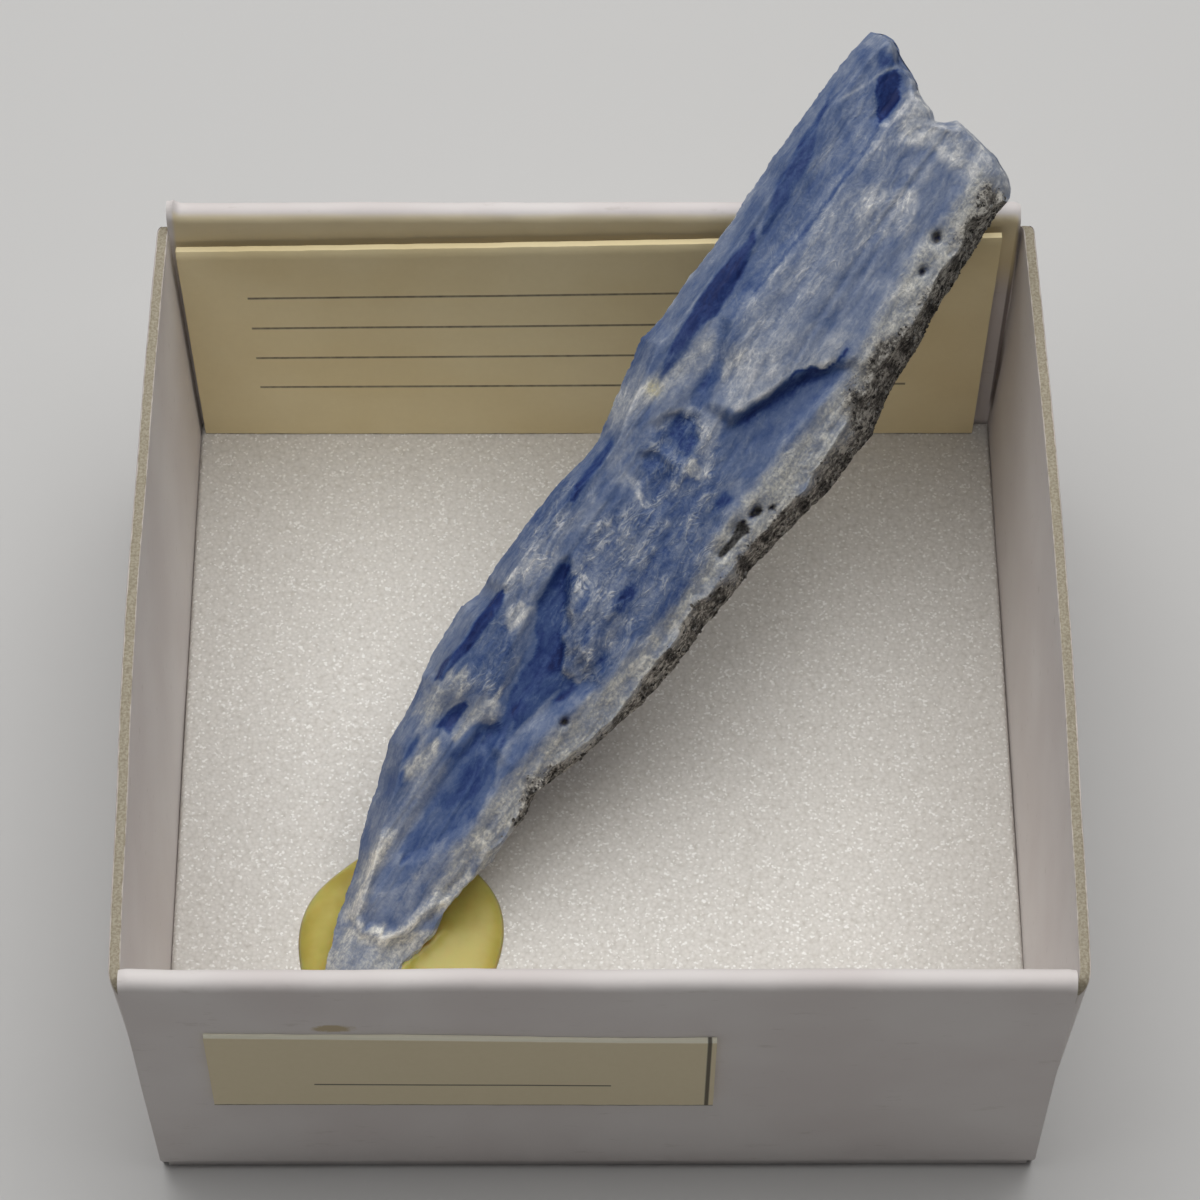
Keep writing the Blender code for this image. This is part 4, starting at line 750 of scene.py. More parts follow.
def front_marks(x, y, front, ragged):
    """Colouring of the front sheet: its paint, web of threads, yellow stain and dark matrix.

    What stands above its neighbours two columns off is a little paler, as a painted highlight, and what
    lies below darker, as painted shade.
    """
    tone, cream = paint(x, y)
    px, py, radius = YELLOW_SPOT
    yellow = np.exp(-((x - px) ** 2 + (y - py) ** 2) / radius ** 2)
    web = np.clip(webbed(x, y) + 0.35 * smooth_ramp(tone, 0.60, 0.8), 0, 1)
    # Painted highlight on crests and painted shade in hollows, from the height against neighbours two
    # columns off
    painted_light_relief = front - (np.roll(front, 2, axis=1) + np.roll(front, -2, axis=1)) / 2
    tone += 0.07 * smooth_ramp(painted_light_relief, 0.01, 0.06) - 0.08 * smooth_ramp(-painted_light_relief, 0.01, 0.06)
    darkest = MATRIX_TINT + [(12.0, 6.0), (12.0, 43.5)]
    matrix = smooth_ramp(depth_inside(x, y, darkest) + 0.2 + 1.8 * ragged, -0.4, 0.5)
    return {"tone": tone, "cream": cream, "web": web, "yellow": yellow, "matrix": matrix}


BLADE_TURN = np.array(Matrix.Rotation(math.radians(-HEADING), 3, "Z")
                      @ Matrix.Rotation(math.radians(RISE), 3, "X")
                      @ Matrix.Rotation(math.radians(TURN), 3, "Y"))


def place_cluster(points):
    """Turns points of the cluster's frame to the tray's frame."""
    return points @ BLADE_TURN.T + np.array(FOOT_PLACE)


def point_numbers(rows, columns, first=0):
    """The numbers of a grid's points, row by row."""
    return first + np.arange(rows * columns).reshape(rows, columns)


def rim_of(number):
    """The numbers round a grid's rim, in order."""
    return np.concatenate([number[0, :-1], number[:-1, -1], number[-1, :0:-1], number[:0:-1, 0]])


def grid_faces(number, wrap=False):
    """Four-cornered faces of a grid of numbered points; wrap joins its last column to its first."""
    if wrap:
        number = np.concatenate([number, number[:, :1]], axis=1)
    cells = [number[:-1, :-1], number[:-1, 1:], number[1:, 1:], number[1:, :-1]]
    return np.stack(cells, axis=-1).reshape(-1, 4)


def enclosed_volume(points, groups):
    """Volume inside closed faces, from the cones that their fans of triangles make with the origin."""
    total = 0.0
    for faces in groups:
        for k in range(1, faces.shape[1] - 1):
            a, b, c = (points[faces[:, j]] for j in (0, k, k + 1))
            total += np.einsum("ij,ij->", a, np.cross(b, c)) / 6
    return total


def make_piece(name, points, groups, finish, stands_for, marks=None, sharp=None):
    """A mesh object from points in millimetres, which rides on the root body.

    groups are arrays of faces, one array for each number of corners. marks are values at the points,
    kept as attributes. Faces are turned round if they enclose a negative volume. sharp is the angle
    in degrees past which an edge stays sharp, or None for a smooth piece.
    """
    groups = [np.asarray(faces).reshape(-1, np.shape(faces)[-1]) for faces in groups]
    if enclosed_volume(points, groups) < 0:
        groups = [faces[:, ::-1] for faces in groups]
    corners = np.concatenate([np.full(len(faces), faces.shape[1]) for faces in groups])
    mesh = bpy.data.meshes.new(name)
    mesh.vertices.add(len(points))
    mesh.vertices.foreach_set("co", (points * MM).astype(np.float32).ravel())
    mesh.loops.add(int(corners.sum()))
    order = np.concatenate([faces.ravel() for faces in groups])
    mesh.loops.foreach_set("vertex_index", order.astype(np.int32))
    mesh.polygons.add(len(corners))
    mesh.polygons.foreach_set("loop_start", (np.cumsum(corners) - corners).astype(np.int32))
    mesh.update(calc_edges=True)
    mesh.shade_smooth()
    if sharp is not None:
        mesh.set_sharp_from_angle(angle=math.radians(sharp))
    for key, values in (marks or {}).items():
        kept = mesh.attributes.new(key, "FLOAT", "POINT")
        kept.data.foreach_set("value", np.asarray(values, np.float32).ravel())
    mesh.materials.append(finish)
    piece = new_object(name, mesh)
    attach(piece, "root")
    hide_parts(stands_for)
    return piece


def build_cluster(finish):
    """The two sheets sewn at their rim: side rims share points, end rims join three cells to one."""
    upper, lower, marks = cluster_surface()
    upper, lower = place_cluster(upper), place_cluster(lower)
    lower[..., 2] = np.maximum(lower[..., 2], SOLE_Z + SOLE_GAP)
    upper[..., 2] = np.clip(upper[..., 2], SOLE_Z + SOLE_GAP, CAD_BOX[1][2] / MM - TOP_GAP)
    hidden = lower[1:-1, 1:-1]
    front_number = point_numbers(*upper.shape[:2])
    number = front_number[:, ::BACK_STEP].copy()
    number[1:-1, 1:-1] = point_numbers(*hidden.shape[:2], first=front_number.size)
    end_faces = []
    for end, beside, way in ((0, 1, -1), (-1, -2, 1)):
        rim, row = front_number[end], number[beside]
        hexagons = [[*rim[BACK_STEP * j:BACK_STEP * (j + 1) + 1], row[j + 1], row[j]][::way]
                    for j in range(len(row) - 1)]
        end_faces.append(np.array(hexagons))
    points = np.concatenate([upper.reshape(-1, 3), hidden.reshape(-1, 3)])
    behind = back_marks(hidden.shape[:2])
    marks = {key: np.concatenate([values.ravel(), behind[key].ravel()]) for key, values in marks.items()}
    groups = [grid_faces(front_number), grid_faces(number[1:-1])[:, [0, 3, 2, 1]], *end_faces]
    make_piece("kyanite_blades_grown", points, groups, finish, "kyanite_blades", marks,
               CLUSTER_SHARP)
    return upper, marks


def back_marks(shape):
    """Colouring of the hidden side: streaky blue, pale along some laths, matrix on the right."""
    along, across = np.meshgrid(np.linspace(0, 47, shape[0]), np.linspace(0, 9, shape[1]), indexing="ij")
    tone = 0.45 + 0.25 * value_noise(across / 0.9, along / 9.0, 71)
    tone += 0.12 * value_noise(across / 0.3, along / 4.0, 72)
    matrix = smooth_ramp(across + 0.5 * value_noise(along / 1.5, across, 73), 7.2, 7.9)
    return {"tone": tone, "cream": 0.5 * smooth_ramp(across, 5.8, 7.4), "web": smooth_ramp(tone, 0.4, 0.7),
            "yellow": 0 * tone, "matrix": matrix}


def pebble(around=6, rings=4):
    """A ball of few faces: its points by rings between two poles, and its faces."""
    tilt = np.pi * (np.arange(rings) + 1)[:, None] / (rings + 1)
    turn = 2 * np.pi * np.arange(around) / around
    ball = [np.sin(tilt) * np.cos(turn), np.sin(tilt) * np.sin(turn), np.cos(tilt) + 0 * turn]
    points = np.concatenate([np.stack(ball, axis=-1).reshape(-1, 3), [[0, 0, 1.0], [0, 0, -1.0]]])
    number = point_numbers(rings, around)
    first, last, top_pole = number[0], number[-1], np.full(around, number.size)
    top = np.stack([first, np.roll(first, -1), top_pole], axis=-1)
    bottom = np.stack([last, top_pole + 1, np.roll(last, -1)], axis=-1)
    return points, grid_faces(number, wrap=True), np.concatenate([top, bottom])


def scatter(places, axes, sizes, rng, jitter):
    """Many pebbles as one set of points and faces: each at a place, on its own axes, at its own sizes."""
    template, quads, triangles = pebble()
    count = len(places)
    shapes = template[None] * (1 + jitter * rng.uniform(-1, 1, (count, len(template), 1)))
    points = places[:, None] + np.einsum("kpi,kij->kpj", shapes * sizes[:, None], axes)
    shift = (np.arange(count) * len(template))[:, None, None]
    quads, triangles = (quads[None] + shift).reshape(-1, 4), (triangles[None] + shift).reshape(-1, 3)
    return points.reshape(-1, 3), quads, triangles, len(template)


def random_axes(rng, count):
    """Sets of three axes at right angles, at random."""
    sets = np.linalg.qr(rng.normal(size=(count, 3, 3)))[0]
    return sets * np.sign(np.linalg.det(sets))[:, None, None]


def inside_rim(shape, margin):
    """1 at the points of a grid that lie more than a margin of points inside its rim, 0 at the others."""
    kept = np.zeros(shape)
    kept[margin:-margin, margin // 2:-margin // 2] = 1.0
    return kept


def build_crumbs(upper, marks, finish):
    """Dark and paler grains that stand out of the matrix side and the crumbly margin."""
    rng = np.random.default_rng(CRUMB_SEED)
    count = upper.shape[0] * upper.shape[1]
    places = upper.reshape(-1, 3)
    clear_of_foam = places[:, 2] > FOAM_TOP + CRUMB_FOOTROOM
    likely = marks["matrix"][:count] * clear_of_foam * inside_rim(upper.shape[:2], 6).ravel()
    chosen = rng.choice(count, CRUMBS, replace=False, p=likely / likely.sum())
    radius = (CRUMB_RADIUS + CRUMB_SPREAD * rng.random(CRUMBS) ** 3)[:, None]
    sizes = radius * rng.uniform(0.7, 1.3, (CRUMBS, 3))
    half_sunk = places[chosen] - BLADE_TURN[:, 2] * radius * 0.5
    points, quads, triangles, each = scatter(half_sunk, random_axes(rng, CRUMBS), sizes, rng, 0.18)
    pale = rng.random(CRUMBS) < PALE_CRUMBS
    looks = {key: np.repeat(np.where(pale, *both), each) for key, both in CRUMB_LOOKS.items()}
    make_piece("matrix_crumbs", points, [quads, triangles], finish, "kyanite_blades", looks,
               sharp=20)


def carried_section(name, points, core, finish):
    """A wall of the tray: a closed section on a grid of places along the wall, with its two end faces."""
    number = point_numbers(*points.shape[:2])
    groups = [grid_faces(number, wrap=True), number[:1, ::-1], number[-1:]]
    make_piece(name, points.reshape(-1, 3), groups, finish, "card_tray", {"core": core},
               CARD_SHARP)


def foot_fold(z):
    """How far a wall's outer face draws in at height z, where it rounds under into the base."""
    return FOLD_RADIUS - np.sqrt(FOLD_RADIUS ** 2 - np.clip(FOLD_RADIUS - z, 0, FOLD_RADIUS) ** 2)


def end_section():
    """The closed line of (inward, height) round a card that is folded over at a round rim.

    It goes up the outer face, over the rim, down the inner face, up the back of the inner layer, over
    the gap between the two and down the back of the outer layer.
    """
    radius = DOUBLE_WALL / 2
    levels = (HEIGHT - radius) * np.sin(np.linspace(0, np.pi / 2, LEVELS))
    upper_levels = levels[levels > CARD]

    def upright(inward, heights):
        return np.stack([inward + 0 * heights, heights], axis=-1)

    def arch(reach, count):
        turn = np.linspace(0, np.pi, count)[1:-1]
        return np.stack([radius - reach * np.cos(turn), HEIGHT - radius + reach * np.sin(turn)], axis=-1)
    return np.concatenate([
        upright(foot_fold(levels), levels), arch(radius, RIM_POINTS),
        upright(DOUBLE_WALL, upper_levels[::-1]), upright(DOUBLE_WALL - CARD, upper_levels),
        arch(radius - CARD, GAP_POINTS)[::-1], upright(CARD, upper_levels[::-1]), [(CARD, 0.0)]])


def folded_wall(name, side, splay, finish, seed):
    """An end wall: one card folded over at a round rim into an outer and an inner layer.

    Its section is carried along x and its ends flare out to the rim. Soft waves, a dented rim and
    worn corners are added to it, and at the left end of the back wall a torn nub stands up.
    """
    inward, z = end_section().T
    along = np.linspace(-1, 1, WALL_COLUMNS)[:, None]
    rise = z / HEIGHT
    x = along * (HALF - SKIN_GAP + np.where(along < 0, RIM_FLARE_LEFT, RIM_FLARE_RIGHT) * rise)
    wave = 0.05 * value_noise(x / 7.0, z / 8.0, seed) + 0.02 * value_noise(x / 2.3, z / 3.0, seed + 1)
    dent = 0.05 * rough_noise(x / 2.2, z / 1.6, seed + 2, 4) * smooth_ramp(z, HEIGHT - 2.6, HEIGHT - 0.6)
    held = smooth_ramp(z, 0.2, 3.0)
    y = side * (HALF + splay * rise - inward - SKIN_GAP * held + (wave + dent) * held)
    top = z - SKIN_GAP * (1 + value_noise(x / 3.1, 0.0, seed + 3)) * smooth_ramp(z, HEIGHT - 1.5, HEIGHT)
    worn = smooth_ramp(np.abs(along), 0.985, 1.0) * smooth_ramp(z, HEIGHT - 1.2, HEIGHT)
    top = top - 0.12 * worn * (1 + value_noise(x / 0.2, z / 0.3, seed + 4))
    if side > 0:
        torn = smooth_ramp(-along, 0.972, 0.985) * smooth_ramp(z, HEIGHT - 0.9, HEIGHT)
        top = top + NUB_HEIGHT * torn * (1 + 0.8 * value_noise(x / 0.17, z / 0.3, 119))
    carried_section(name, np.stack([x, y, top], axis=-1), 0 * x, finish)


def side_wall(name, side, finish, seed):
    """A side wall of single card: straight at its foot, bowed out at its top, its top corners rounded.

    Its section goes up the outer face, over the raw top edge, whose tan core shows between white
    faces, and down the inner face, and is carried along y.
    """
    bend = CORNER_RUN / (HALF - SIDE_INSET)
    corner = bend * np.linspace(0, 1, SIDE_CORNER_POINTS)
    straight = np.linspace(-1 + bend, 1 - bend, SIDE_COLUMNS)[1:-1]
    f = np.concatenate([-1 + corner, straight, 1 - corner[::-1]])[:, None]
    rising = np.sin(np.linspace(0, np.pi / 2, SIDE_LEVELS))
    edge, flat = np.linspace(0, 1, RAW_EDGE_POINTS), np.zeros(SIDE_LEVELS)
    up = np.concatenate([rising, 1 + 0 * edge, rising[::-1]])
    depth = np.concatenate([flat, edge, flat + 1])
    core = np.concatenate([flat, smooth_ramp(edge, 0.0, 0.12) * smooth_ramp(1 - edge, 0.0, 0.12), flat])
    softened = np.concatenate([flat, 0.07 * (2 * edge - 1) ** 4, flat])
    to_end = np.clip((np.abs(f) - (1 - bend)) / bend, 0, 1)
    turned = 1 - np.sqrt(1 - to_end ** 2)
    height = SIDE_HEIGHT - turned * CORNER_FALL - 0.02 * (1 + value_noise(f * 14, 0.0, seed))
    burr = 0.03 * rough_noise(f * 60, 0.0, seed + 5, 4)
    z = up * (height + burr) - softened
    rise = z / HEIGHT
    front_y = -(HALF - SIDE_INSET + FRONT_SPLAY * rise)
    back_y = HALF - SIDE_INSET + BACK_SPLAY * rise
    y = front_y + (back_y - front_y) * (f + 1) / 2
    outward = HALF + (SIDE_SPLAY + SIDE_BOW * (1 - f ** 2)) * z / SIDE_HEIGHT
    wave = 0.04 * (value_noise(y / 6.0, z / 7.0, seed + 1) - 1) * smooth_ramp(z, 0.2, 4.0)
    ragged = 0.03 * value_noise(y / 0.25, depth / 0.4, seed + 2) * (core > 0)
    drawn_in = turned * CORNER_TURN + depth * CARD + foot_fold(z) * (depth < 0.5)
    x = side * (outward - drawn_in + wave + ragged)
    carried_section(name, np.stack([x, y, z], axis=-1), np.broadcast_to(core, x.shape), finish)


def slab(front, back):
    """Points and faces of a thin sheet between two grids of points."""
    number = point_numbers(*front.shape[:2])
    faces, ring = grid_faces(number), rim_of(number)
    after = np.roll(ring, -1)
    rim = np.stack([after, ring, ring + number.size, after + number.size], axis=-1)
    points = np.concatenate([front.reshape(-1, 3), back.reshape(-1, 3)])
    return points, [faces, faces[:, ::-1] + number.size, rim]


def tray_base(finish):
    """The tray's floor: a flat sheet, very slightly uneven."""
    u = np.linspace(-1, 1, BASE_POINTS) * (HALF - BASE_MARGIN)
    x, y = np.meshgrid(u, u)
    sag = BASE_SAG * (1 + value_noise(x / 9.0, y / 9.0, 81))
    under, over = np.stack([x, y, sag * 0.3], axis=-1), np.stack([x, y, CARD + sag], axis=-1)
    points, groups = slab(over, under)
    core = np.zeros(len(points))
    make_piece("tray_base", points, groups, finish, "card_tray", {"core": core}, CARD_SHARP)


def cell_domes(x, y, size):
    """Foam cells: the distance to the nearest of scattered cell centres, one in each square, as domes."""
    i, j = np.floor(x / size), np.floor(y / size)
    nearest = np.full(np.shape(x), 9.0)
    for column in (i - 1, i, i + 1):
        for row in (j - 1, j, j + 1):
            centre_x = column + hashed(column, row)
            centre_y = row + hashed(column, row, factors=(269.5, 183.3), gain=28001.8384)
            nearest = np.minimum(nearest, np.hypot(x / size - centre_x, y / size - centre_y))
    return 1 - np.clip(nearest, 0, 1) ** 2


def build_foam(finish):
    """The foam pad: a block whose top is a bed of small cells; its sides are the grid's outer rings."""
    def places(low, high, count):
        inner = np.linspace(low + FOAM_EDGE_IN, high - FOAM_EDGE_IN, count)
        return np.concatenate([[low] * 2, inner, [high] * 2])
    xs = places(-FOAM_HALF_X, FOAM_HALF_X, FOAM_COLUMNS)
    ys = places(FOAM_FRONT_Y, FOAM_BACK_Y, FOAM_ROWS)
    x, y = np.meshgrid(xs, ys)
    ring = np.minimum(from_ends(len(xs))[None, :], from_ends(len(ys))[:, None])
    top = FOAM_TOP - 0.07 + 0.035 * cell_domes(x, y, FOAM_CELL) + 0.03 * value_noise(x / 4.0, y / 4.0, 91)
    z = np.select([ring == 0, ring == 1], [FOAM_BASE + 0 * x, FOAM_TOP - FOAM_EDGE_DOWN + 0 * x], top)
    number = point_numbers(*x.shape)
    groups = [grid_faces(number), rim_of(number)[None, ::-1]]
    foam = make_piece("foam_pad_cells", np.stack([x, y, z], axis=-1).reshape(-1, 3), groups, finish,
                      "foam_pad", sharp=60)


def build_dab(upper, finish):
    """The glue dab: a low round blob on rings, its surface drawn up where it meets the cluster's foot."""
    turn = 2 * np.pi * np.arange(DAB_AROUND) / DAB_AROUND
    r = np.linspace(0.0, 1.0, DAB_RINGS + 1)[1:, None]
    wander = 1 + 0.04 * np.sin(2 * turn + 0.6) + 0.025 * np.sin(5 * turn)
    x = DAB_CENTRE[0] + DAB_RADIUS_X * r * wander * np.cos(turn)
    y = DAB_CENTRE[1] + DAB_RADIUS_Y * r * wander * np.sin(turn)
    uneven = 1 + 0.04 * value_noise(x / 2.6, y / 2.6, 95)
    z = FOAM_TOP + 0.02 + DAB_HEIGHT * (1 - r ** 4.0) ** 0.6 * uneven
    foot = upper.reshape(-1, 3)
    foot = foot[(foot[:, 2] < FOAM_TOP + 2.3)][::6, :2]
    away = np.min(np.hypot(x[..., None] - foot[:, 0], y[..., None] - foot[:, 1]), axis=-1)
    z = z + DAB_DRAWN_UP * np.exp(-away / 0.35) * smooth_ramp(1 - r, 0.0, 0.25)
    middle = [[*DAB_CENTRE, FOAM_TOP + DAB_HEIGHT]]
    points = np.concatenate([np.stack([x, y, z], axis=-1).reshape(-1, 3), middle])
    number = point_numbers(DAB_RINGS, DAB_AROUND)
    pole = np.stack([number[0], np.roll(number[0], -1), np.full(DAB_AROUND, number.size)], axis=-1)
    make_piece("glue_dab_blob", points, [grid_faces(number, wrap=True), pole, number[-1:]], finish,
               "glue_dab")


def corner_blend(corners, rows, columns):
    """The grid between four corners, given from lower left anticlockwise, with its two parameters."""
    v, u = np.meshgrid(np.linspace(0, 1, rows), np.linspace(0, 1, columns), indexing="ij")
    a, b, c, d = np.array(corners)
    u, v = u[..., None], v[..., None]
    return a * (1 - u) * (1 - v) + b * u * (1 - v) + c * u * v + d * (1 - u) * v, u[..., 0], v[..., 0]


def cut_sheet(name, corners, thickness, bend, stands_for, finish, seed, size):
    """A card or label: a sheet between four corners, slightly bent, its edges cut a little unevenly.

    size is its width and height in millimetres; places on it are kept as sheet_x and sheet_y.
    """
    front, u, v = corner_blend(corners, SHEET_ROWS, SHEET_COLUMNS)
    sheet_x, sheet_y = u * size[0], v * size[1]
    cut = 0.03 * value_noise(sheet_x / 0.7, sheet_y / 0.7, seed)
    at_edge = np.minimum(np.minimum(u, 1 - u) * size[0], np.minimum(v, 1 - v) * size[1]) < 0.01
    at_top = v > 0.99
    front[..., 2] += cut * at_edge * 0.6 - 0.03 * at_top
    front[..., 1] += 0.4 * thickness * at_top
    front[..., 1] += bend * np.sin(np.pi * u) * v + 0.015 * value_noise(u * 5, v * 3, seed + 1)
    points, groups = slab(front, front + np.array([0.0, thickness, 0.0]))
    marks = {"sheet_x": np.tile(sheet_x.ravel(), 2), "sheet_y": np.tile(sheet_y.ravel(), 2)}
    make_piece(name, points, groups, finish, stands_for, marks, CARD_SHARP)


class Value:
    """A number inside a material. Arithmetic on it adds Math nodes to the material's tree."""

    def __init__(self, tree, socket):
        self.tree, self.socket = tree, socket

    def math(self, operation, *others, clamp=False):
        """One Math node, on this value and the others."""
        made = self.tree.nodes.new("ShaderNodeMath")
        made.operation = operation
        made.use_clamp = clamp
        for place, given in zip(made.inputs, (self, *others)):
            join(self.tree, place, given)
        return Value(self.tree, made.outputs[0])

    def __add__(self, other):
        return self.math("ADD", other)

    def __sub__(self, other):
        return self.math("SUBTRACT", other)

    def __rsub__(self, other):
        return self.math("MULTIPLY_ADD", -1.0, other)

    def __mul__(self, other):
        return self.math("MULTIPLY", other)

    def __truediv__(self, other):
        return self.math("DIVIDE", other)

    __radd__, __rmul__ = __add__, __mul__

    def clamped(self):
        """The same value, held between 0 and 1."""
        return self.math("ADD", 0.0, clamp=True)

    def ramp(self, low, high):
        """0 below low, 1 above high and a smooth S between."""
        made = self.tree.nodes.new("ShaderNodeMapRange")
        made.interpolation_type = "SMOOTHSTEP"
        join(self.tree, made.inputs["Value"], self)
        made.inputs["From Min"].default_value = low
        made.inputs["From Max"].default_value = high
        return Value(self.tree, made.outputs[0])

    def between(self, low, high, edge):
        """1 from low to high and 0 outside them, over soft edges that lie inside."""
        return self.ramp(low, low + edge) * (high - self).ramp(0.0, edge)

    def line(self, place, half_width):
        """1 within half_width of a place on this value and 0 past it, with a soft edge."""
        return 1 - (self - place).math("ABSOLUTE").ramp(half_width * 0.6, half_width * 1.4)


def join(tree, place, given):
    """Sets a socket to a number or colour, or links a value to it."""
    if isinstance(given, Value):
        tree.links.new(given.socket, place)
    else:
        place.default_value = given


def seen(red, green, blue):
    """A colour given as it looks, each part from 0 to 255, as the linear colour that shaders take."""
    linear = (((c / 255 + 0.055) / 1.055) ** 2.4 if c > 10 else c / 255 / 12.92 for c in (red, green, blue))
    return (*linear, 1.0)


class Finish:
    """A material on one Principled shader, with calls that add its nodes."""

    def __init__(self, name, **constants):
        self.material = bpy.data.materials.new(name)
        self.material.use_nodes = True
        self.tree = self.material.node_tree
        self.shader = self.tree.nodes["Principled BSDF"]
        for key, value in constants.items():
            self.shader.inputs[key.replace("_", " ").title().replace("Ior", "IOR")].default_value = value

    def node(self, kind, sockets, output=0, stops=None, **settings):
        """Any node: its settings and ramp stops first, then the values or links of its sockets."""
        made = self.tree.nodes.new(kind)
        for key, value in settings.items():
            setattr(made, key, value)
        if stops:
            marks = made.color_ramp.elements
            while len(marks) < len(stops):
                marks.new(1.0)
            for mark, (place, colour) in zip(marks, stops):
                mark.position, mark.color = place, colour
        for key, given in sockets.items():
            join(self.tree, made.inputs[key], given)
        return Value(self.tree, made.outputs[output])

    def mark(self, name):
        """A value kept at the mesh's points."""
        return self.node("ShaderNodeAttribute", {}, output="Fac", attribute_name=name)

    def place(self):
        """Where a point is, in metres in the tray's frame."""
        return self.node("ShaderNodeTexCoord", {}, output="Object")

    def measure(self, axis, origin=(0.0, 0.0, 0.0)):
        """Distance of a point from an origin along an axis, in millimetres."""
        away = self.node("ShaderNodeVectorMath", {0: self.place(), 1: tuple(MM * c for c in origin)},
                         operation="SUBTRACT")
        dot = self.node("ShaderNodeVectorMath", {0: away, 1: tuple(float(c) for c in axis)},
                        output="Value", operation="DOT_PRODUCT")
        return dot / MM

    def vector(self, x, y, z):
        """A place from three values."""
        return self.node("ShaderNodeCombineXYZ", {0: x, 1: y, 2: z})

    def noise(self, vector, detail=3.0, roughness=0.55, scale=1.0):
        """Cloudy noise from 0 to 1 at a place."""
        return self.node("ShaderNodeTexNoise", {"Vector": vector, "Scale": scale, "Detail": detail,
                                                "Roughness": roughness}, output="Fac")

    def grain(self, size, detail, roughness):
        """Even noise whose lumps are about this many millimetres wide."""
        return self.noise(self.place(), detail, roughness, scale=1 / (size * MM))

    def cells(self, size, output="Distance"):
        """Scattered cells of this width in millimetres: the distance to their middles, or a colour each."""
        sockets = {"Vector": self.place(), "Scale": 1 / (size * MM)}
        return self.node("ShaderNodeTexVoronoi", sockets, output=output)

    def mix(self, share, first, second):
        """A colour between two, by a share from 0 to 1."""
        return self.node("ShaderNodeMix", {0: share, 6: first, 7: second}, output=2, data_type="RGBA")

    def colours(self, share, *stops):
        """A colour along a ramp, by a share from 0 to 1. A stop is its place, red, green and blue."""
        stops = [(place, seen(*colour)) for place, *colour in stops]
        return self.node("ShaderNodeValToRGB", {0: share}, stops=stops)

    def wear(self, colour=None, roughness=None, height=None, depth=0.02, strength=1.0):
        """Feeds the shader: its colour, its roughness, and a bump of the given depth in millimetres."""
        if height is not None:
            sockets = {"Height": height, "Distance": depth * MM, "Strength": strength}
            height = self.node("ShaderNodeBump", sockets)
        for key, given in (("Base Color", colour), ("Roughness", roughness), ("Normal", height)):
            if given is not None:
                join(self.tree, self.shader.inputs[key], given)
        return self.material


def kyanite():
    """Cloudy blue of the blades, paler where frayed, with cream stains and a grey crumbly matrix.

    Clouds, streaks, fibres and specks are noises stretched along the blades. Thin pale threads are
    the contour lines of long leaning noise, and show most where the mesh is marked as webbed.
    """
    f = Finish("kyanite_grown", ior=1.5, specular_ior_level=0.2)
    across, along, out = (f.measure(BLADE_TURN[:, k], FOOT_PLACE) for k in range(3))

    def stretched(side, length, detail, roughness, over=across):
        return f.noise(f.vector(over * side, along * length, out * side), detail, roughness)
    grain = across + (stretched(0.6, 0.4, 5.0, 0.55) - 0.5) * 1.5
    clouds = stretched(1.1, 0.75, 7.0, 0.60).ramp(0.30, 0.70)
    streaks = stretched(2.0, 0.55, 6.0, 0.66, grain).ramp(0.30, 0.70)
    fibres = stretched(6.0, 1.0, 4.0, 0.62, grain).ramp(0.32, 0.68)
    specks = stretched(7.0, 6.0, 4.0, 0.65).ramp(0.32, 0.68)
    lumps = stretched(3.0, 2.4, 5.0, 0.7).ramp(0.34, 0.66)
    swayed = across + (stretched(0.7, 0.5, 2.0, 0.4) - 0.5) * 1.6
    tone, web, cream, matrix, yellow = (f.mark(key) for key in ("tone", "web", "cream", "matrix", "yellow"))

    threads = 0.0
    for width, slope, shift in THREAD_SHEETS:
        place = f.vector((swayed - along * slope) / width + shift, along / (4.5 * width), out * 0.3)
        threads = f.noise(place, 2.0, 0.5).line(0.5, 0.010) * streaks.ramp(0.10, 0.70) + threads
    threads = threads.clamped() * (clouds * 0.8 + 0.2) * (web * 0.9 + 0.25)

    uneven = web * 0.5 + 0.75
    pale = tone + ((clouds - 0.5) * 0.18 + (streaks - 0.5) * 0.15 + (fibres - 0.5) * 0.11) * uneven
    pale = pale + threads * 0.19 + (specks - 0.5) * (web * 0.05 + cream * 0.14 + 0.06)
    blue = f.colours(
        pale.clamped(), (0.0, 18, 34, 84), (0.15, 34, 55, 110), (0.3, 60, 82, 128), (0.45, 88, 105, 140),
        (0.6, 118, 130, 155), (0.75, 153, 160, 175), (0.9, 196, 198, 204), (1.0, 232, 232, 230))
    creamy = f.colours(
        (pale + 0.02).clamped(), (0.0, 26, 25, 26), (0.35, 100, 99, 97), (0.7, 161, 161, 157),
        (1.0, 232, 229, 218))
    rock = f.colours(
        (specks * 0.36 + lumps * 0.52 + (tone - 0.35) * 0.55 + 0.07).clamped(),
        (0.05, 25, 25, 25), (0.35, 68, 66, 64), (0.65, 122, 118, 112), (0.95, 198, 194, 185))
    stained = f.mix((cream * 1.3 + (specks + clouds - 1.0) * cream * 0.6).clamped(), blue, creamy)
    border = (matrix * (1.6 - matrix)).clamped()
    colour = f.mix((matrix * 1.4 + (specks + lumps - 1.0) * 0.8 * border).clamped(), stained, rock)
    colour = f.mix((yellow * (0.3 + specks * 0.5)).clamped(), colour, seen(216, 204, 150))
    roughness = 0.50 + web * 0.12 + cream * 0.12 + matrix * 0.25 + (streaks - 0.5) * 0.1
    height = (fibres * 0.35 + streaks * 0.3 + clouds * 0.5 + threads * 0.5) * uneven
    height = height + specks * (web * 0.3 + cream * 0.6 + matrix * 0.9 + 0.1) + lumps * matrix * 1.5
    return f.wear(colour, roughness, height, depth=0.035, strength=0.8)


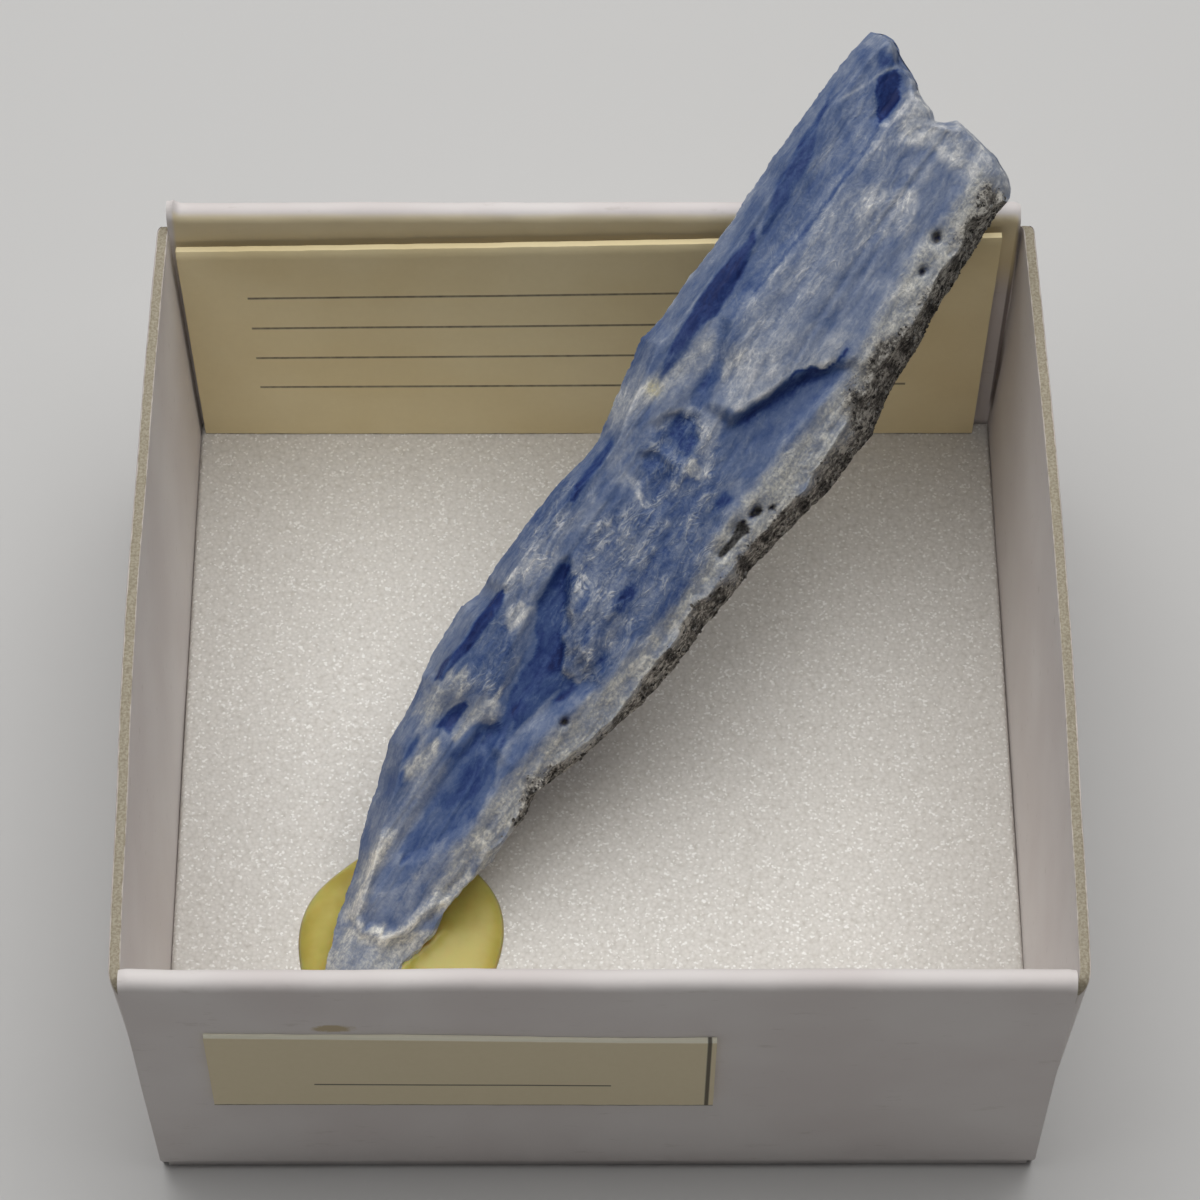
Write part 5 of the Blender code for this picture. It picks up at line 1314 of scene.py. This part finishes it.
def white_card():
    """Coated card: white with a faint fibre and scuffs, tan where its raw core shows.

    A trace of glue lies above the label, and inside the back wall are a dark line of painted shade at a
    fold gap and a yellow tint near its top.
    """
    f = Finish("white_card_fibre", ior=1.45)
    fibre, cloud, lint = f.grain(0.35, 4.0, 0.6), f.grain(7, 2.0, 0.5), f.grain(0.12, 3.0, 0.6)
    x, y, z = (f.measure(axis) for axis in ((1, 0, 0), (0, 1, 0), (0, 0, 1)))
    face = f.mix(cloud.ramp(0.3, 0.7), seen(220, 212, 209), seen(228, 222, 219))
    scuffs = f.noise(f.vector(x * 0.5, y * 1.6, z * 1.6), 5.0, 0.65).ramp(0.60, 0.74)
    face = f.mix(scuffs * 0.25, face, seen(170, 160, 148))
    smear_x, smear_z = (x - SMEAR_PLACE[0]) / SMEAR_REACH[0], (z - SMEAR_PLACE[1]) / SMEAR_REACH[1]
    from_smear = smear_x * smear_x + smear_z * smear_z + (fibre - 0.5) * 2.0
    smear = (1 - from_smear.ramp(0.3, 1.4)) * (0 - y).ramp(HALF, HALF + 0.3)
    face = f.mix(smear * 0.65, face, seen(176, 150, 74))
    # Painted shade of the fold gap right of the name card, on the back wall's inner face only
    painted_gap_shade = (x - (z - GAP_SHADE_FOOT[1]) * GAP_SHADE_LEAN).line(GAP_SHADE_FOOT[0], GAP_SHADE_HALF_WIDTH)
    painted_gap_shade = painted_gap_shade * y.ramp(18.6, 18.9) * (20.2 - y).ramp(0.0, 0.1)
    painted_gap_shade = painted_gap_shade * z.ramp(5.5, 6.5) * (19.4 - z).ramp(0.0, 0.8)
    face = f.mix(painted_gap_shade * 0.75, face, seen(96, 80, 76))
    # A yellow tint on the back wall's inner face, growing towards its top
    upper_yellow_tint = y.ramp(19.5, 19.7) * (20.25 - y).ramp(0.0, 0.3) * z.ramp(14.0, 17.0)
    upper_yellow_tint = upper_yellow_tint * (20.1 - x.math("ABSOLUTE")).ramp(0.0, 0.2)
    face = f.mix(upper_yellow_tint * 0.7, face, seen(238, 220, 164))
    raw = f.mix(lint.ramp(0.3, 0.7), seen(140, 130, 110), seen(174, 165, 145))
    return f.wear(f.mix(f.mark("core"), face, raw), 0.62 + fibre * 0.2, fibre, depth=0.012, strength=0.5)


def white_foam():
    """Fine-celled foam: white with bright sparkling cell walls."""
    f = Finish("white_foam_cells", ior=1.45)
    walls, fine = f.cells(0.20), f.grain(0.20, 4.0, 0.65)
    glint = f.node("ShaderNodeSeparateColor", {0: f.cells(0.10, output="Color")}).ramp(0.86, 0.97)
    colour = f.colours((walls * 0.5 + fine * 0.6).clamped(), (0.2, 228, 224, 218), (0.6, 213, 209, 202),
                       (1.0, 190, 184, 175))
    colour = f.mix(glint * 0.6, colour, seen(255, 254, 250))
    return f.wear(colour, 0.7 - glint * 0.4, fine * 0.9 - walls * 0.5, depth=0.05, strength=0.8)


def yellow_glue():
    """Set glue: olive yellow, glossy and half clear."""
    f = Finish("yellow_glue_set", ior=1.5, subsurface_weight=0.6, subsurface_scale=0.0015)
    cloud = f.grain(2.2, 3.0, 0.5)
    colour = f.mix(cloud.ramp(0.3, 0.7), seen(172, 156, 66), seen(194, 180, 94))
    return f.wear(colour, 0.30 + cloud * 0.15, cloud, depth=0.10, strength=0.4)


def cream_card():
    """Cream card, printed with plain ruled lines."""
    f = Finish("cream_card_ruled", ior=1.45)
    sheet_x, sheet_y = f.mark("sheet_x"), f.mark("sheet_y")
    fibre, cloud = f.grain(0.4, 4.0, 0.6), f.grain(6, 2.0, 0.5)
    paper = f.mix(cloud.ramp(0.3, 0.7), seen(238, 220, 172), seen(245, 229, 184))
    paper = f.mix(fibre * 0.12, paper, seen(190, 168, 120))
    lines = 0.0
    for level in NAME_CARD_RULES:
        lines = sheet_y.line(level, 0.07) + lines
    lines = (lines * sheet_x.between(RULES_FROM, RULES_TO, 0.05)).clamped()
    colour = f.mix(lines * (0.45 + fibre * 0.6), paper, seen(74, 68, 60))
    return f.wear(colour, 0.6 + fibre * 0.2, fibre, depth=0.012, strength=0.5)


def cream_paper():
    """Cream label paper, with a ruled line, the thin frame that its cutting left, and a painted highlight
    along its top edge.
    """
    f = Finish("cream_paper_cut", ior=1.45)
    sheet_x, sheet_y, fibre = f.mark("sheet_x"), f.mark("sheet_y"), f.grain(0.3, 4.0, 0.6)
    paper = f.mix(fibre * 0.15, seen(232, 218, 184), seen(198, 182, 142))
    # Painted highlight along the label's top cut edge
    paper = f.mix((sheet_y - LABEL_TOP_EDGE).ramp(0.0, 0.06) * 0.9, paper, seen(255, 252, 232))
    ragged = (f.grain(0.5, 2.0, 0.5) - 0.5) * 0.08
    frame_line = sheet_x.line(LABEL_FRAME_X, 0.09) + (1 - (sheet_y + ragged).ramp(0.03, 0.1))
    ruled = sheet_y.line(LABEL_RULE, 0.06) * sheet_x.between(LABEL_RULE_FROM, LABEL_RULE_TO, 0.05)
    colour = f.mix((frame_line + ruled).clamped() * 0.85, paper, seen(48, 40, 34))
    return f.wear(colour, 0.6 + fibre * 0.2, fibre, depth=0.01, strength=0.5)


def studio_floor():
    """A plain pale floor, not part of the object."""
    f = Finish("pale_floor")
    cloud = f.noise(f.place(), 2.0, 0.5, scale=12.0)
    return f.wear(f.mix(cloud, seen(205, 204, 202), seen(210, 209, 207)), 0.8 + cloud * 0.05)


def camera_axes():
    """The camera's right, up and backward directions, from its pitch, yaw and roll."""
    pitch, yaw, roll = (math.radians(a) for a in (CAMERA_PITCH, CAMERA_YAW, CAMERA_ROLL))
    forward = np.array([math.sin(yaw) * math.cos(pitch), math.cos(yaw) * math.cos(pitch), -math.sin(pitch)])
    right = np.array([math.cos(yaw), -math.sin(yaw), 0.0])
    up = np.cross(right, forward)
    return (math.cos(roll) * right + math.sin(roll) * up,
            math.cos(roll) * up - math.sin(roll) * right, -forward)


def new_object(name, data):
    """An object in the scene that holds the given mesh, camera or light."""
    made = bpy.data.objects.new(name, data)
    bpy.context.scene.collection.objects.link(made)
    return made


def turned_to(place, axes):
    """The matrix that stands at a place, in millimetres, on its right, up and backward axes."""
    turn = Matrix([list(row) for row in np.stack(axes, axis=1)]).to_4x4()
    turn.translation = [MM * c for c in place]
    return turn


def set_camera():
    """The camera of the photograph's view."""
    data = bpy.data.cameras.new("photo_view")
    data.lens, data.sensor_width, data.clip_start = CAMERA_LENS, CAMERA_SENSOR, 0.01
    camera = new_object("photo_view", data)
    camera.matrix_world = turned_to(CAMERA_PLACE, camera_axes())
    bpy.context.scene.camera = camera


def add_light(name, place, target, size, watts):
    """A square soft light at a place, in millimetres, turned to a target."""
    data = bpy.data.lights.new(name, "AREA")
    data.size, data.energy = size * MM, watts
    backward = np.subtract(place, target) / np.linalg.norm(np.subtract(place, target))
    right = np.cross([0.0, 1.0, 0.001], backward)
    right /= np.linalg.norm(right)
    new_object(name, data).matrix_world = turned_to(place, (right, np.cross(backward, right), backward))


def set_studio():
    """Pale floor, a big soft light above and a little behind, a weak one in front, a dim pale room."""
    mesh = bpy.data.meshes.new("floor")
    corners = [(FLOOR_REACH * x, FLOOR_REACH * y, 0) for x, y in ((-1, -1), (1, -1), (1, 1), (-1, 1))]
    mesh.from_pydata(corners, [], [(0, 1, 2, 3)])
    mesh.materials.append(studio_floor())
    floor = new_object("floor", mesh)
    add_light("key", *KEY_LIGHT)
    add_light("fill", *FILL_LIGHT)
    world = bpy.data.worlds.new("room")
    world.use_nodes = True
    background = world.node_tree.nodes["Background"]
    background.inputs["Color"].default_value = ROOM_COLOUR
    background.inputs["Strength"].default_value = ROOM_STRENGTH
    bpy.context.scene.world = world
    bpy.context.scene.view_settings.view_transform = "Standard"


def label_corners():
    """The label's corners on the leaning front wall, from lower left anticlockwise."""
    places = ((LABEL_LEFT_X, LABEL_BOTTOM_Z[0]), (LABEL_RIGHT_X, LABEL_BOTTOM_Z[1]),
              (LABEL_RIGHT_X, LABEL_TOP_Z[1]), (LABEL_LEFT_X, LABEL_TOP_Z[0]))
    return [(x, -(HALF + FRONT_SPLAY * z / HEIGHT) - LABEL_THICKNESS - 0.02, z) for x, z in places]


def main():
    """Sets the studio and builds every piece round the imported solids."""
    set_camera()
    set_studio()
    card = white_card()
    folded_wall("tray_front_wall", -1, FRONT_SPLAY, card, 101)
    folded_wall("tray_back_wall", 1, BACK_SPLAY, card, 111)
    side_wall("tray_left_wall", -1, card, 121)
    side_wall("tray_right_wall", 1, card, 131)
    tray_base(card)
    build_foam(white_foam())
    cut_sheet("name_card_sheet", NAME_CARD_CORNERS, NAME_CARD_THICKNESS, -0.05, "name_card",
              cream_card(), 141, NAME_CARD_SIZE)
    cut_sheet("number_label_paper", label_corners(), LABEL_THICKNESS + LABEL_PRESS, 0.0, "number_label",
              cream_paper(), 151, LABEL_SIZE)
    finish = kyanite()
    upper, marks = build_cluster(finish)
    build_crumbs(upper, marks, finish)
    build_dab(upper, yellow_glue())


main()
